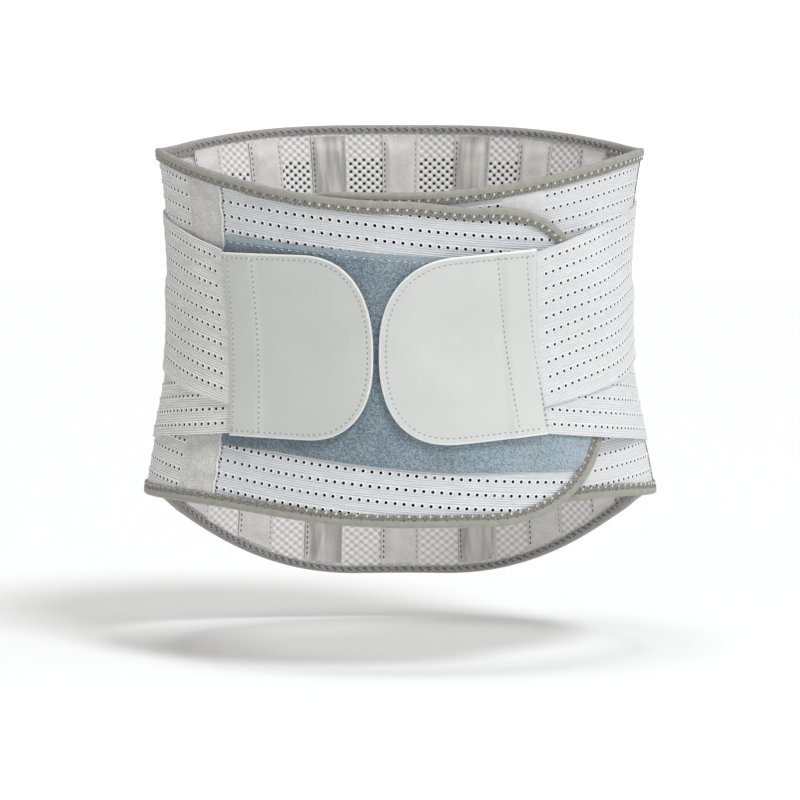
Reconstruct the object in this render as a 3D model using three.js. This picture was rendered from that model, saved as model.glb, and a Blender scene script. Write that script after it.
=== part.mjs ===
// An elastic lumbar support belt, closed round a waist of about 74 cm, in millimetres.
// +Z is up and the wearer faces -Y, so the wearer's right is -X and the wearer's left is +X.
// Every piece is a thin strip of one flared tube, laid out on the tube's developed surface:
//   s  distance round the waist from the front centre, positive towards the wearer's left
//   z  height above the straight rest edge under the back
//   o  distance outwards from the skin side
import * as THREE from "three";

// Driving dimensions
const WAIST_HALF_WIDTH = 134.5;
const WAIST_HALF_DEPTH = 98;
const WAIST_HEIGHT = 170;
const BELT_CENTRE_Y = -1.43; // puts the middle of the whole belt on the Z axis
const BACK_TOP = 288;
const SIDE_TOP = 270;
const RIGHT_TOP = 236.8; // of the right front at the front centre
const LEFT_TOP = 241.8;
const END_DIP = 5; // how far the right front's top edge sinks towards its rounded end
const SIDE_BOTTOM = 64;
const RIGHT_BOTTOM = 54.5;
const LEFT_BOTTOM = 60;
const HIP_RISE = 4.6; // extra height of the lower edge over the front of each hip
const REST_EDGE_HALF = 22; // half length of the straight rest edge

// Thicknesses of the fabrics, and the free gap that parts two layers
const ELASTIC = 1.8;
const BACK_FABRIC = 2;
const LINING = 1.2;
const TAPE = 1;
const LOOP = 1.4;
const HOOK = 1.2;
const COATED = 1.8;
const GAP = 0.6;
const SEAM_GAP = 0.4; // between two pieces sewn edge to edge

// Seams and ends, as angles round the tube from the front centre, in degrees
const REAR_SEAM = 117;
const ANCHOR_END = 127;
const SIDE_SEAM = 83;
const RIGHT_WEBBING = [-57.7, -45];
const LEFT_WEBBING = [24, 35.5];
const RIGHT_TAB_SEAM = -41.4;
const LEFT_TAB_SEAM = 32.3;
const LIFT_FROM = -88;
const LIFT_TO = -45;
const CHANNELS = [-57, -36.5, -18.5, 0, 18.5, 36.5, 57]; // from the back centre
const STEEL_CHANNEL = 18.5;
const HINGE_CLEARANCE = 6; // each side of a hinge line that stands for bending fabric
const PULL_ROOT = 26; // from the right rear seam to the hinge line of the right pull
const BINDING_WIDTH = 6;
const TAB_MIDDLE = 155; // height of the middle of the tabs

const radians = THREE.MathUtils.degToRad;
const lerp = THREE.MathUtils.lerp;
const smooth = THREE.MathUtils.smoothstep;

// ---------------------------------------------------------------- the tube

// How far the tube stands out from its waist at height z.
function flare(z) {
  const below = (WAIST_HEIGHT - z) / 106;
  const above = (z - WAIST_HEIGHT) / 100;
  return z < WAIST_HEIGHT
    ? 24 * (1 - Math.exp(-1.1 * below * below))
    : 9 * above * above;
}

// Point at angle a (radians from the front centre), height z and offset o.
function tubePoint(a, z, o) {
  const backShare = Math.max(0, -Math.cos(a));
  const halfWidth = WAIST_HALF_WIDTH + flare(z);
  const halfDepth = WAIST_HALF_DEPTH + flare(z) * lerp(0.6, 0.75, backShare);
  const x = halfWidth * Math.sin(a);
  const y = -halfDepth * Math.cos(a);
  const normal = new THREE.Vector2(x / halfWidth ** 2, y / halfDepth ** 2);
  normal.normalize().multiplyScalar(o);
  return new THREE.Vector3(x + normal.x, y + normal.y + BELT_CENTRE_Y, z);
}

// Distance round the waist at each whole degree, so that s and the angle convert both ways.
const arcAt = [0];
for (let degree = 0; degree < 360; degree++) {
  const a = radians(degree + 0.5);
  const perRadian = Math.hypot(
    WAIST_HALF_WIDTH * Math.cos(a),
    WAIST_HALF_DEPTH * Math.sin(a),
  );
  arcAt.push(arcAt[degree] + perRadian * radians(1));
}

function arcOf(degrees) {
  const size = Math.abs(degrees);
  const whole = Math.floor(size);
  const arc = lerp(arcAt[whole], arcAt[whole + 1], size - whole);
  return Math.sign(degrees) * arc;
}

function angleOf(s) {
  const size = Math.abs(s);
  const whole = arcAt.findIndex((arc) => arc > size) - 1;
  const share = (size - arcAt[whole]) / (arcAt[whole + 1] - arcAt[whole]);
  return Math.sign(s) * radians(whole + share);
}

const place = (s, z, o) => tubePoint(angleOf(s), z, o);

// Upper and lower edge of the bound belt at s. The two fronts differ: out is -1 for the right
// front and 1 for the left one, and the back is the same for both.
const topEdge = (out) => (s) => {
  const a = angleOf(s);
  const sine = Math.abs(Math.sin(a));
  if (Math.cos(a) <= 0) return lerp(BACK_TOP, SIDE_TOP, sine ** 3);
  const middle = out < 0 ? RIGHT_TOP - END_DIP * smooth(s, 0, 50) : LEFT_TOP;
  return lerp(middle, SIDE_TOP, sine ** (s * out > 0 ? 2 : 3));
};

const bottomEdge = (out) => (s) => {
  const a = angleOf(s);
  const sine = Math.abs(Math.sin(a));
  if (Math.cos(a) <= 0) {
    const straight = REST_EDGE_HALF / WAIST_HALF_WIDTH;
    const rise = Math.max(0, (sine - straight) / (1 - straight));
    return SIDE_BOTTOM * rise ** 2.15;
  }
  if (out < 0 && s > 0) return RIGHT_BOTTOM;
  const middle = out < 0 ? RIGHT_BOTTOM : LEFT_BOTTOM;
  return lerp(middle, SIDE_BOTTOM, sine ** 2) + HIP_RISE * Math.sin(2 * a) ** 2;
};

const backTop = topEdge(1);
const backBottom = bottomEdge(1);

// The same edges for the cloth inside the binding.
const FOLD = TAPE + GAP / 2;
const clothTop = (out) => (s) => topEdge(out)(s) - FOLD;
const clothBottom = (out) => (s) => bottomEdge(out)(s) + FOLD;

// ---------------------------------------------------------------- layers at the front

const OVERLAP = 5.4; // the right front panel, clear of the left one and its binding
const PAD = OVERLAP + ELASTIC + GAP;
const OVER_PAD = PAD + LOOP + GAP;
const ON_ELASTIC = ELASTIC + GAP;

const lift = (s) => OVERLAP * smooth(s, arcOf(LIFT_FROM), arcOf(LIFT_TO));

// Inner side of the lower pull strap: on the side elastic at the rear, over the pad in front.
function strapOffset(s) {
  if (s < 0) return lift(s) + ON_ELASTIC + (LOOP + GAP) * smooth(s, arcOf(-68), arcOf(-50));
  return lerp(OVER_PAD, ON_ELASTIC, smooth(s, arcOf(62), arcOf(88)));
}

// ---------------------------------------------------------------- solids

// Evenly spaced values, no more than step apart.
function steps(from, to, step) {
  const count = Math.max(1, Math.ceil(Math.abs((to - from) / step) - 1e-9));
  return Array.from({ length: count + 1 }, (_, i) => lerp(from, to, i / count));
}

function signedVolume(position, index) {
  const corner = (i) => new THREE.Vector3().fromArray(position, 3 * index[i]);
  let volume = 0;
  for (let i = 0; i < index.length; i += 3)
    volume += corner(i).dot(corner(i + 1).cross(corner(i + 2))) / 6;
  return volume;
}

// Closed solid through a row of rings of points. cap lists the triangles that close a ring,
// each with its corners in the order of the ring.
function loft(rings, cap) {
  const size = rings[0].length;
  const last = (rings.length - 1) * size;
  const position = rings.flat().flatMap((p) => p.toArray());
  const index = [];
  for (let row = 0; row < last; row += size)
    for (let k = 0; k < size; k++) {
      const [a, b] = [row + k, row + ((k + 1) % size)];
      index.push(a, b, a + size, b, b + size, a + size);
    }
  for (const [i, j, k] of cap) index.push(i, k, j, last + i, last + j, last + k);
  if (signedVolume(position, index) < 0) index.reverse();
  const geometry = new THREE.BufferGeometry();
  geometry.setAttribute("position", new THREE.Float32BufferAttribute(position, 3));
  geometry.setIndex(index);
  geometry.computeVertexNormals();
  return geometry;
}

// Strip of cloth through rows, a list of s. low and high give its edges at s, inner and
// outer its two faces, and across says how many parts its height is divided into. A strip
// whose edges are bound has an extra part of the height of hem along each edge, and lean
// tips its rows over by that many millimetres along s for each millimetre of height.
function strip({ rows, low, high, inner, outer, across = 8, hem = 0, lean = () => 0 }) {
  const size = 2 * (across + (hem ? 3 : 1));
  const rings = rows.map((s) => {
    const edge = Math.min(hem / (high(s) - low(s)), 0.3);
    const inside = steps(edge, 1 - edge, (1 - 2 * edge) / across);
    const up = hem ? [0, ...inside, 1] : inside;
    const face = (side, shares) =>
      shares.map((v) => {
        const z = lerp(low(s), high(s), v);
        return place(s + lean(s) * (z - TAB_MIDDLE), z, side(s));
      });
    return [...face(outer, up), ...face(inner, [...up].reverse())];
  });
  const cap = steps(0, size / 2 - 2, 1).flatMap((k) => [
    [k, k + 1, size - 1 - k],
    [k + 1, size - 2 - k, size - 1 - k],
  ]);
  return loft(rings, cap);
}

const BINDING_CAP = [
  [0, 1, 8],
  [0, 8, 9],
  [1, 7, 8],
  [1, 2, 6],
  [1, 6, 7],
  [2, 5, 6],
  [2, 3, 4],
  [2, 4, 5],
];

// Folded tape along an edge. path lists points (s, z) of the cloth's edge with the cloth on
// the left of the way it runs, and inner and outer give the cloth's faces at s.
function binding({ path, inner, outer }) {
  const outline = (s) => {
    const [i, o] = [inner(s) - GAP / 2, outer(s) + GAP / 2];
    const shoulder = GAP / 2 + TAPE * 0.4;
    return [
      [i, BINDING_WIDTH],
      [i, -GAP / 2],
      [o, -GAP / 2],
      [o, BINDING_WIDTH],
      [o + TAPE, BINDING_WIDTH],
      [o + TAPE, -shoulder],
      [o, -FOLD],
      [i, -FOLD],
      [i - TAPE, -shoulder],
      [i - TAPE, BINDING_WIDTH],
    ].map(([offset, inwards]) => new THREE.Vector2(offset, inwards));
  };
  const rings = path.map((p, i) => {
    const before = path[Math.max(i - 1, 0)];
    const after = path[Math.min(i + 1, path.length - 1)];
    const along = new THREE.Vector2().subVectors(after, before).normalize();
    return outline(p.x).map((q) => {
      const s = p.x - along.y * q.y;
      return place(s, p.y + along.x * q.y, q.x + inner(s) - inner(p.x));
    });
  });
  return loft(rings, BINDING_CAP);
}

// Rows that run straight to the start of a rounded end, then close up to its tip.
function roundedRows(from, round, tip, corners = 12) {
  const turn = steps(0, Math.PI / 2, Math.PI / 2 / corners);
  const bend = turn.map((v) => lerp(round, tip, Math.sin(v)));
  return [...steps(from, round, 9).slice(0, -1), ...bend];
}

// Share of the full height left at s in a rounded end.
function roundShare(s, { round, tip, power }) {
  const u = Math.min(1, Math.max(0, (s - round) / (tip - round)));
  return (1 - u ** power) ** (1 / power);
}

// ---------------------------------------------------------------- materials and nodes

const material = (color, roughness, metalness = 0) =>
  new THREE.MeshStandardMaterial({ color, roughness, metalness });
const MATERIALS = {
  elastic: material(0xdfe1e3, 0.85),
  front_elastic: material(0xdbe4ea, 0.85),
  back_fabric: material(0xcfcfce, 0.9),
  mesh: material(0xdcd8d6, 0.9),
  tape: material(0xcbc9c6, 0.8),
  satin: material(0xb7b3ae, 0.5),
  webbing: material(0xc6c6c2, 0.85),
  binding: material(0xaaaca4, 0.8),
  dark_binding: material(0x928c8a, 0.8),
  seam: material(0x77787a, 0.8),
  loop: material(0x90a5b3, 1),
  hook: material(0xbcc0c3, 0.7),
  coated: material(0xd2d6d1, 0.5),
  plastic: material(0xf0f0ec, 0.45),
  steel: material(0xb9bcc0, 0.3, 1),
};

const belt = new THREE.Group();
belt.name = "lumbar_support_belt";

function add(name, slot, geometry) {
  const mesh = new THREE.Mesh(geometry, MATERIALS[slot]);
  mesh.name = name;
  belt.add(mesh);
}

// ---------------------------------------------------------------- back

const rearArc = arcOf(REAR_SEAM);
const halfRound = arcOf(180);
const backFrom = rearArc + HINGE_CLEARANCE;
const backTo = 2 * halfRound - backFrom;
const HEM = BINDING_WIDTH + 1.5;
const BACK_INNER = LINING + GAP;
const BACK_OUTER = BACK_INNER + BACK_FABRIC;

function addBackPanels() {
  const rows = steps(backFrom, backTo, 10);
  const shape = { rows, low: clothBottom(1), high: clothTop(1), hem: HEM };
  const fabric = { ...shape, inner: () => BACK_INNER, outer: () => BACK_OUTER };
  const lining = { ...shape, inner: () => 0, outer: () => LINING };
  add("back_outer_panel", "back_fabric", strip(fabric));
  add("back_mesh_lining", "mesh", strip(lining));
}

const STAY_HALF = 6;
const STAY_THICKNESS = 1;
const TUNNEL_TO_EDGE = 13;
const STAY_TO_EDGE = 17;
const TUNNEL_GAP = 0.6;

// A tape tunnel on the skin side of the lining, arched over the stay inside it.
function addChannel(number, degrees) {
  const side = Math.sign(degrees);
  const middle = halfRound + side * (halfRound - arcOf(180 - Math.abs(degrees)));
  const isSteel = Math.abs(degrees) === STEEL_CHANNEL;
  const crown = STAY_THICKNESS + TUNNEL_GAP;
  const arch = (s) => crown * (1 - smooth(Math.abs(s - middle), 6.6, 8.6));
  const tunnel = {
    rows: [-10.5, -8.6, -6.6, 0, 6.6, 8.6, 10.5].map((d) => middle + d),
    low: (s) => backBottom(s) + TUNNEL_TO_EDGE,
    high: (s) => backTop(s) - TUNNEL_TO_EDGE,
    outer: (s) => -TUNNEL_GAP - arch(s),
    inner: (s) => -TUNNEL_GAP - arch(s) - TAPE,
  };
  const stay = {
    rows: [-STAY_HALF, 0, STAY_HALF].map((d) => middle + d),
    low: () => backBottom(middle) + STAY_TO_EDGE,
    high: () => backTop(middle) - STAY_TO_EDGE,
    outer: () => -TUNNEL_GAP,
    inner: () => -TUNNEL_GAP - STAY_THICKNESS,
  };
  add(`stay_channel_${number}`, isSteel ? "satin" : "tape", strip({ ...tunnel, across: 12 }));
  add(
    `${isSteel ? "steel" : "plastic"}_stay_${number}`,
    isSteel ? "steel" : "plastic",
    strip({ ...stay, across: 12 }),
  );
}

const edgePath = (rows, edge) => rows.map((s) => new THREE.Vector2(s, edge(s)));

function addBackBindings() {
  const rows = steps(backFrom, backTo, 10);
  const faces = { inner: () => 0, outer: () => BACK_OUTER };
  const top = edgePath([...rows].reverse(), clothTop(1));
  const bottom = edgePath(rows, clothBottom(1));
  add("back_top_binding", "dark_binding", binding({ path: top, ...faces }));
  add("back_bottom_binding", "dark_binding", binding({ path: bottom, ...faces }));
}

// ---------------------------------------------------------------- front panels

const RIGHT_END = { out: -1, mid: 138, round: 45, tip: 119, power: 2 };
const LEFT_END = { out: 1, mid: 145, round: -38, tip: -62, power: 2.6 };

// Edges of a front panel's cloth, which close up over its rounded end.
function frontEdges(end) {
  const edge = (nominal) => (s) => lerp(end.mid, nominal(s), roundShare(s, end));
  return { low: edge(clothBottom(end.out)), high: edge(clothTop(end.out)) };
}

// The bound edge of a side: along the top to the tip of the front panel and back below.
function frontPath(from, end, bottomFirst) {
  const { low, high } = frontEdges(end);
  const along = roundedRows(from, end.round, end.tip);
  const [first, second] = bottomFirst ? [low, high] : [high, low];
  return [
    ...edgePath(along, first),
    ...edgePath(along.slice(0, -1).reverse(), second),
  ];
}

function addRightFront() {
  const from = -(rearArc - HINGE_CLEARANCE);
  const webbing = RIGHT_WEBBING.map(arcOf);
  const faces = { inner: lift, outer: (s) => lift(s) + ELASTIC };
  const whole = { low: clothBottom(-1), high: clothTop(-1), ...faces, hem: HEM, across: 6 };
  const sideRows = steps(from, webbing[0] - SEAM_GAP, 9);
  const panelRows = roundedRows(webbing[1] + SEAM_GAP, RIGHT_END.round, RIGHT_END.tip);
  add("right_side_elastic", "elastic", strip({ rows: sideRows, ...whole }));
  add("right_side_webbing", "webbing", strip({ rows: steps(...webbing, 11), ...whole }));
  add(
    "right_front_panel",
    "front_elastic",
    strip({ ...whole, rows: panelRows.slice(0, -1), ...frontEdges(RIGHT_END) }),
  );
  add(
    "right_front_binding",
    "binding",
    binding({ path: frontPath(from, RIGHT_END, true), ...faces }),
  );
  addSideStay("right", (webbing[0] + webbing[1]) / 2, lift);
  addLoopPad(webbing[1] + 1.5);
  addClosureHook();
}

// Flexible plastic stay on the skin side of a side webbing band.
function addSideStay(side, middle, inner) {
  const out = Math.sign(middle);
  const outer = (s) => inner(s) - GAP;
  const shape = {
    rows: [-STAY_HALF, 0, STAY_HALF].map((d) => middle + d),
    low: () => bottomEdge(out)(middle) + STAY_TO_EDGE,
    high: () => topEdge(out)(middle) - STAY_TO_EDGE,
  };
  const faces = { inner: (s) => outer(s) - STAY_THICKNESS, outer };
  add(`${side}_side_stay`, "plastic", strip({ ...shape, ...faces }));
}

// Edges of the brushed loop pad on the right front panel, which slope down towards its end.
const padTop = (s) => 206.8 - 0.085 * s + 0.0003 * s * s;
const padBottom = (s) => 98.5 - 13.5 * smooth(s, -105, 38);

function addLoopPad(from) {
  const inset = BINDING_WIDTH + 2.5;
  const end = { ...RIGHT_END, tip: RIGHT_END.tip - inset };
  const rounded = (s, nominal) => lerp(end.mid, nominal, roundShare(s, end));
  add(
    "loop_pad",
    "loop",
    strip({
      rows: roundedRows(from, end.round, end.tip).slice(0, -1),
      low: (s) => Math.max(padBottom(s), rounded(s, bottomEdge(-1)(s) + inset)),
      high: (s) => Math.min(padTop(s), rounded(s, topEdge(-1)(s) - inset)),
      inner: () => PAD,
      outer: () => PAD + LOOP,
      across: 6,
    }),
  );
}

// Hook patch inside the right front panel, which fastens it to the left one.
function addClosureHook() {
  const outer = OVERLAP - GAP;
  add(
    "closure_hook_patch",
    "hook",
    strip({
      rows: steps(26, 88, 9),
      low: () => 98,
      high: () => 190,
      inner: () => outer - HOOK,
      outer: () => outer,
      across: 5,
    }),
  );
}

function addLeftFront() {
  const from = rearArc - HINGE_CLEARANCE;
  const webbing = LEFT_WEBBING.map(arcOf);
  const seam = arcOf(SIDE_SEAM);
  const faces = { inner: () => 0, outer: () => ELASTIC };
  const whole = { low: clothBottom(1), high: clothTop(1), ...faces, hem: HEM, across: 6 };
  const sideRows = steps(from, webbing[1] + SEAM_GAP, 9);
  const panelRows = roundedRows(webbing[0] - SEAM_GAP, LEFT_END.round, LEFT_END.tip);
  add("left_side_elastic", "elastic", strip({ rows: sideRows, ...whole }));
  add("left_side_webbing", "webbing", strip({ rows: steps(...webbing, 11), ...whole }));
  add(
    "left_front_panel",
    "front_elastic",
    strip({ ...whole, rows: panelRows.slice(0, -1), ...frontEdges(LEFT_END) }),
  );
  add(
    "left_front_binding",
    "binding",
    binding({ path: frontPath(from, LEFT_END, false), ...faces }),
  );
  add(
    "left_side_seam",
    "seam",
    strip({
      rows: [seam - 1.5, seam + 1.5],
      low: (s) => bottomEdge(1)(s) + HEM,
      high: (s) => topEdge(1)(s) - HEM,
      inner: () => -GAP - 0.6,
      outer: () => -GAP,
    }),
  );
  addSideStay("left", (webbing[0] + webbing[1]) / 2, () => 0);
}

// ---------------------------------------------------------------- pull straps and tabs

// Edges of the straps: height at the tab seam, and rise from there to the rear seam.
const STRAPS = {
  right: {
    upper: { low: [122, 30, 1], high: [211, 26, 1.5] },
    lower: { low: [106, -13, 1], high: [192, -13, 1] },
  },
  left: {
    upper: { low: [121, 36, 1], high: [208, 35, 1.5] },
    lower: { low: [106, -15, 1], high: [192, -15, 1] },
  },
};

// Tabs: heights of the middle line at the seam and where the rounded end starts, height of
// the tip, and half the width of the tab.
const TABS = {
  right: { seam: RIGHT_TAB_SEAM, lean: -0.096, mid: [156.5, 155], half: 51.8 },
  left: { seam: LEFT_TAB_SEAM, lean: -0.03, mid: [158, 153.5], half: 52.2 },
};
const TAB_ENDS = {
  right: { round: -51, tip: -13.8, power: 2.4, mid: 148 },
  left: { round: 31, tip: -11, power: 2.4, mid: 153 },
};
const STITCH_MARGIN = 5; // between the edge of a tab and the edge of its hook patch
const TAB_GAP = 1.5; // from the seam line to the strap and to the tab

// Spans of a side's straps, from the tab seam backwards, by the ending of their names. The
// right straps bend a little in front of the rear seam, because they move with the right front
// too, so a short root stays behind that hinge line.
function strapSpans(side) {
  const front = Math.abs(arcOf(TABS[side].seam)) + TAB_GAP;
  const rear = rearArc - HINGE_CLEARANCE;
  if (side === "left") return { "": [front, rear] };
  const bend = rearArc - PULL_ROOT;
  return {
    "": [front, bend - HINGE_CLEARANCE],
    _root: [bend + HINGE_CLEARANCE, rear],
  };
}

function addStraps(side) {
  const seam = arcOf(TABS[side].seam);
  const length = rearArc - HINGE_CLEARANCE - Math.abs(seam);
  const back = (s) => Math.abs(s - seam) / length;
  const edge = ([start, rise, bend]) => (s) => start + rise * (1 - (1 - back(s)) ** bend);
  for (const [level, { low, high }] of Object.entries(STRAPS[side])) {
    const inner = (s) => strapOffset(s) + (level === "upper" ? ON_ELASTIC : 0);
    const shape = {
      low: edge(low),
      high: edge(high),
      inner,
      outer: (s) => inner(s) + ELASTIC,
      across: 5,
      lean: (s) => TABS[side].lean * (1 - smooth(back(s), 0, 0.4)),
    };
    for (const [ending, [from, to]] of Object.entries(strapSpans(side))) {
      const rows = steps(Math.sign(seam) * from, Math.sign(seam) * to, 9);
      add(`${side}_${level}_strap${ending}`, "elastic", strip({ rows, ...shape }));
    }
  }
}

// Coated tab with a rounded end, and the hook patch on its inner side.
function addTab(side) {
  const { seam, lean, mid, half } = TABS[side];
  const start = arcOf(seam);
  const out = Math.sign(start);
  const shape = (margin, inner, thickness) => {
    const end = { ...TAB_ENDS[side], tip: TAB_ENDS[side].tip + out * margin };
    const forward = (s) => (s - start) / (end.tip - start);
    const edge = (reach) => (s) => {
      const middle = lerp(...mid, (s - start) / (end.round - start));
      return lerp(end.mid, middle + reach, roundShare(s, end));
    };
    return {
      rows: roundedRows(start - out * (TAB_GAP + margin), end.round, end.tip, 9).slice(0, -1),
      low: edge(margin - half),
      high: edge(half - margin),
      inner: () => inner,
      outer: () => inner + thickness,
      across: 6,
      lean: (s) => lean * (1 - forward(s)),
    };
  };
  add(`${side}_pull_tab`, "coated", strip(shape(0, OVER_PAD + HOOK + GAP, COATED)));
  add(`${side}_tab_hook`, "hook", strip(shape(STITCH_MARGIN, OVER_PAD, HOOK)));
}

// Tape over the sewn rear ends of a side's straps, on the edge of the back panel.
function addAnchor(side, out) {
  const ends = [backFrom, arcOf(ANCHOR_END)].map((s) => (out > 0 ? s : 2 * halfRound - s));
  const inner = BACK_OUTER + GAP;
  add(
    `${side}_strap_anchor`,
    "webbing",
    strip({
      rows: steps(...ends, 7),
      low: () => 84,
      high: () => 252,
      inner: () => inner,
      outer: () => inner + TAPE * 1.4,
    }),
  );
}

// ---------------------------------------------------------------- hinge lines

// Line up the outside of the cloth at s, from height low to height high.
function hingeLine(s, low, high, o, out) {
  const from = place(s, low, o);
  const axis = place(s, high, o).sub(from).normalize().multiplyScalar(out);
  return { pos_mm: from.toArray(), axis: axis.toArray() };
}

const HINGE_LOW = 66; // heights that a rear hinge line runs between
const HINGE_HIGH = 268;
const tabTop = OVER_PAD + HOOK + GAP + COATED + 1.2;

// Each positive turn opens the belt outwards.
belt.userData.hinges = {
  right_front_open: hingeLine(-rearArc, HINGE_LOW, HINGE_HIGH, 7, -1),
  left_front_open: hingeLine(rearArc, HINGE_LOW, HINGE_HIGH, 3, 1),
  right_pull_open: hingeLine(PULL_ROOT - rearArc, 90, 245, 8, -1),
  left_pull_open: hingeLine(rearArc, HINGE_LOW, HINGE_HIGH, 8, 1),
  right_tab_peel: hingeLine(arcOf(RIGHT_TAB_SEAM), 104, 208, tabTop, -1),
  left_tab_peel: hingeLine(arcOf(LEFT_TAB_SEAM), 104, 208, tabTop, 1),
};

addBackPanels();
CHANNELS.forEach((degrees, i) => addChannel(i + 1, degrees));
addBackBindings();
addRightFront();
addLeftFront();
for (const side of ["right", "left"]) {
  addStraps(side);
  addTab(side);
}
addAnchor("right", -1);
addAnchor("left", 1);

export default belt;
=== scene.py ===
"""Looks of the lumbar support belt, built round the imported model, which is the fixed frame.

The cloth is laid out on the belt's own flared tube, as in the CAD, in millimetres:
  s  distance round the waist from the front centre, positive towards the wearer's left
  z  height above the rest edge
  o  distance outwards from the skin side
Objects are made in metres. +Z is up and the wearer faces -Y.
"""
import math

import bmesh
import bpy
import numpy as np
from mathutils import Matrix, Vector


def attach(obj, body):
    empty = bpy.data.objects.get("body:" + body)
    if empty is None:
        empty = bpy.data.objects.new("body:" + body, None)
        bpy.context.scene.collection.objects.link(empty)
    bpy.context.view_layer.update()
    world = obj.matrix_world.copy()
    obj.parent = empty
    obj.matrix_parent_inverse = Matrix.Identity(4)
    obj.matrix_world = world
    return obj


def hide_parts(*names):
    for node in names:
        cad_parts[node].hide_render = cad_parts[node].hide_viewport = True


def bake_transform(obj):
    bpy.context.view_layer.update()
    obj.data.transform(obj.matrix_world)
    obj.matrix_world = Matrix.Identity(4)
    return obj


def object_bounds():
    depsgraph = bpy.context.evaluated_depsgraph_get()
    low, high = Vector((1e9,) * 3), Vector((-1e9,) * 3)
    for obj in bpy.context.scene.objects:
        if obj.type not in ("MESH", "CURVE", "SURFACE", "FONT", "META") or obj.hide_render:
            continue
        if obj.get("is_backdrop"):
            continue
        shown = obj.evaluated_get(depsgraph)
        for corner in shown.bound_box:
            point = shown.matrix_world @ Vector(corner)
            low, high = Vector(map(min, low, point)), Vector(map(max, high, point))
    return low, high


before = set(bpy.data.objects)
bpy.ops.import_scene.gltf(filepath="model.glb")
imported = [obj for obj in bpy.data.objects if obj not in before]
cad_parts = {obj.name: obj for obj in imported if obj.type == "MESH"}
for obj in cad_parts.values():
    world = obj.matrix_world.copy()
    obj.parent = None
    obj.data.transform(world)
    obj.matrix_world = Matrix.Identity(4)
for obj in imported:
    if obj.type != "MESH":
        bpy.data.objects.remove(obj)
cad_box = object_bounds()

# ---------------------------------------------------------------- dimensions shared with the CAD

WAIST_HALF_WIDTH, WAIST_HALF_DEPTH, WAIST_HEIGHT = 134.5, 98, 170
FLARE_BELOW, BELOW_REACH, FLARE_ABOVE, ABOVE_REACH = 24, 106, 9, 100
DEPTH_FLARE = 0.6, 0.75  # the share of the flare that the front and the back get
MEAN_FLARE, MEAN_RADIUS = 0.8, 116  # of the whole round
BELT_CENTRE_Y = -1.43
BACK_TOP, SIDE_TOP, RIGHT_TOP, LEFT_TOP = 288, 270, 236.8, 241.8
END_DIP = 5  # how far the right front's top edge sinks towards its rounded end
SIDE_BOTTOM, RIGHT_BOTTOM, LEFT_BOTTOM = 64, 54.5, 60
HIP_RISE = 4.6
REST_EDGE_HALF = 22
ELASTIC, BACK_FABRIC, LINING, TAPE, LOOP, HOOK, COATED = 1.8, 2, 1.2, 1, 1.4, 1.2, 1.8
GAP = 0.6
REAR_SEAM, ANCHOR_END, SIDE_SEAM = 117, 127, 83
RIGHT_WEBBING, LEFT_WEBBING = (-57.7, -45), (24, 35.5)
LIFT_FROM, LIFT_TO = -88, -45  # where the right front rises over the left one
CHANNELS = (-57, -36.5, -18.5, 0, 18.5, 36.5, 57)  # stays, in degrees from the middle of the back
STEEL_CHANNEL = 18.5
PULL_ROOT = 26
BINDING_WIDTH = 6.1
TAB_MIDDLE = 155
FOLD = TAPE + GAP / 2
BACK_OUTER = LINING + GAP + BACK_FABRIC
OVERLAP = 5.4
PAD = OVERLAP + ELASTIC + GAP
OVER_PAD = PAD + LOOP + GAP
MM = 0.001


def lerp(a, b, t):
    return a + (b - a) * t


def smooth(x, a, b):
    t = np.clip((x - a) / (b - a), 0, 1)
    return t * t * (3 - 2 * t)


def bell(x, width):
    return np.exp(-((x / width) ** 2))


def level(value):
    """A height or an offset that is the same everywhere."""
    return lambda s, z=0: 0 * s + value


# ---------------------------------------------------------------- the tube


def flare(z):
    below, above = (WAIST_HEIGHT - z) / BELOW_REACH, (z - WAIST_HEIGHT) / ABOVE_REACH
    hips = FLARE_BELOW * (1 - np.exp(-1.1 * below * below))
    return np.where(z < WAIST_HEIGHT, hips, FLARE_ABOVE * above * above)


_middle = np.radians(np.arange(360) + 0.5)
_step = np.hypot(WAIST_HALF_WIDTH * np.cos(_middle), WAIST_HALF_DEPTH * np.sin(_middle))
ARC_AT = np.concatenate([[0], np.cumsum(_step * math.radians(1))])


def arc_of(degrees):
    return float(np.sign(degrees) * np.interp(np.abs(degrees), np.arange(361), ARC_AT))


def angle_of(s):
    return np.sign(s) * np.radians(np.interp(np.abs(s), ARC_AT, np.arange(361)))


def place(s, z, o):
    """Points of the tube, in mm."""
    s, z, o = (v.astype(float) for v in np.broadcast_arrays(s, z, o))
    a = angle_of(s)
    back_share = np.maximum(0, -np.cos(a))
    half_width = WAIST_HALF_WIDTH + flare(z)
    half_depth = WAIST_HALF_DEPTH + flare(z) * lerp(*DEPTH_FLARE, back_share)
    x, y = half_width * np.sin(a), -half_depth * np.cos(a)
    nx, ny = x / half_width**2, y / half_depth**2
    size = np.hypot(nx, ny)
    return np.stack([x + nx / size * o, y + ny / size * o + BELT_CENTRE_Y, z], -1)


# The two fronts have edges of their own: out is -1 for the right front, and 1 for all the rest.
def top_edge(out):
    def edge(s):
        a = angle_of(s)
        sine, front = np.abs(np.sin(a)), np.cos(a) > 0
        near = RIGHT_TOP - END_DIP * smooth(s, 0, 50) if out < 0 else LEFT_TOP
        middle = np.where(front, near, BACK_TOP)
        return lerp(middle, SIDE_TOP, sine ** np.where(front & (np.asarray(s) * out > 0), 2, 3))

    return edge


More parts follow.
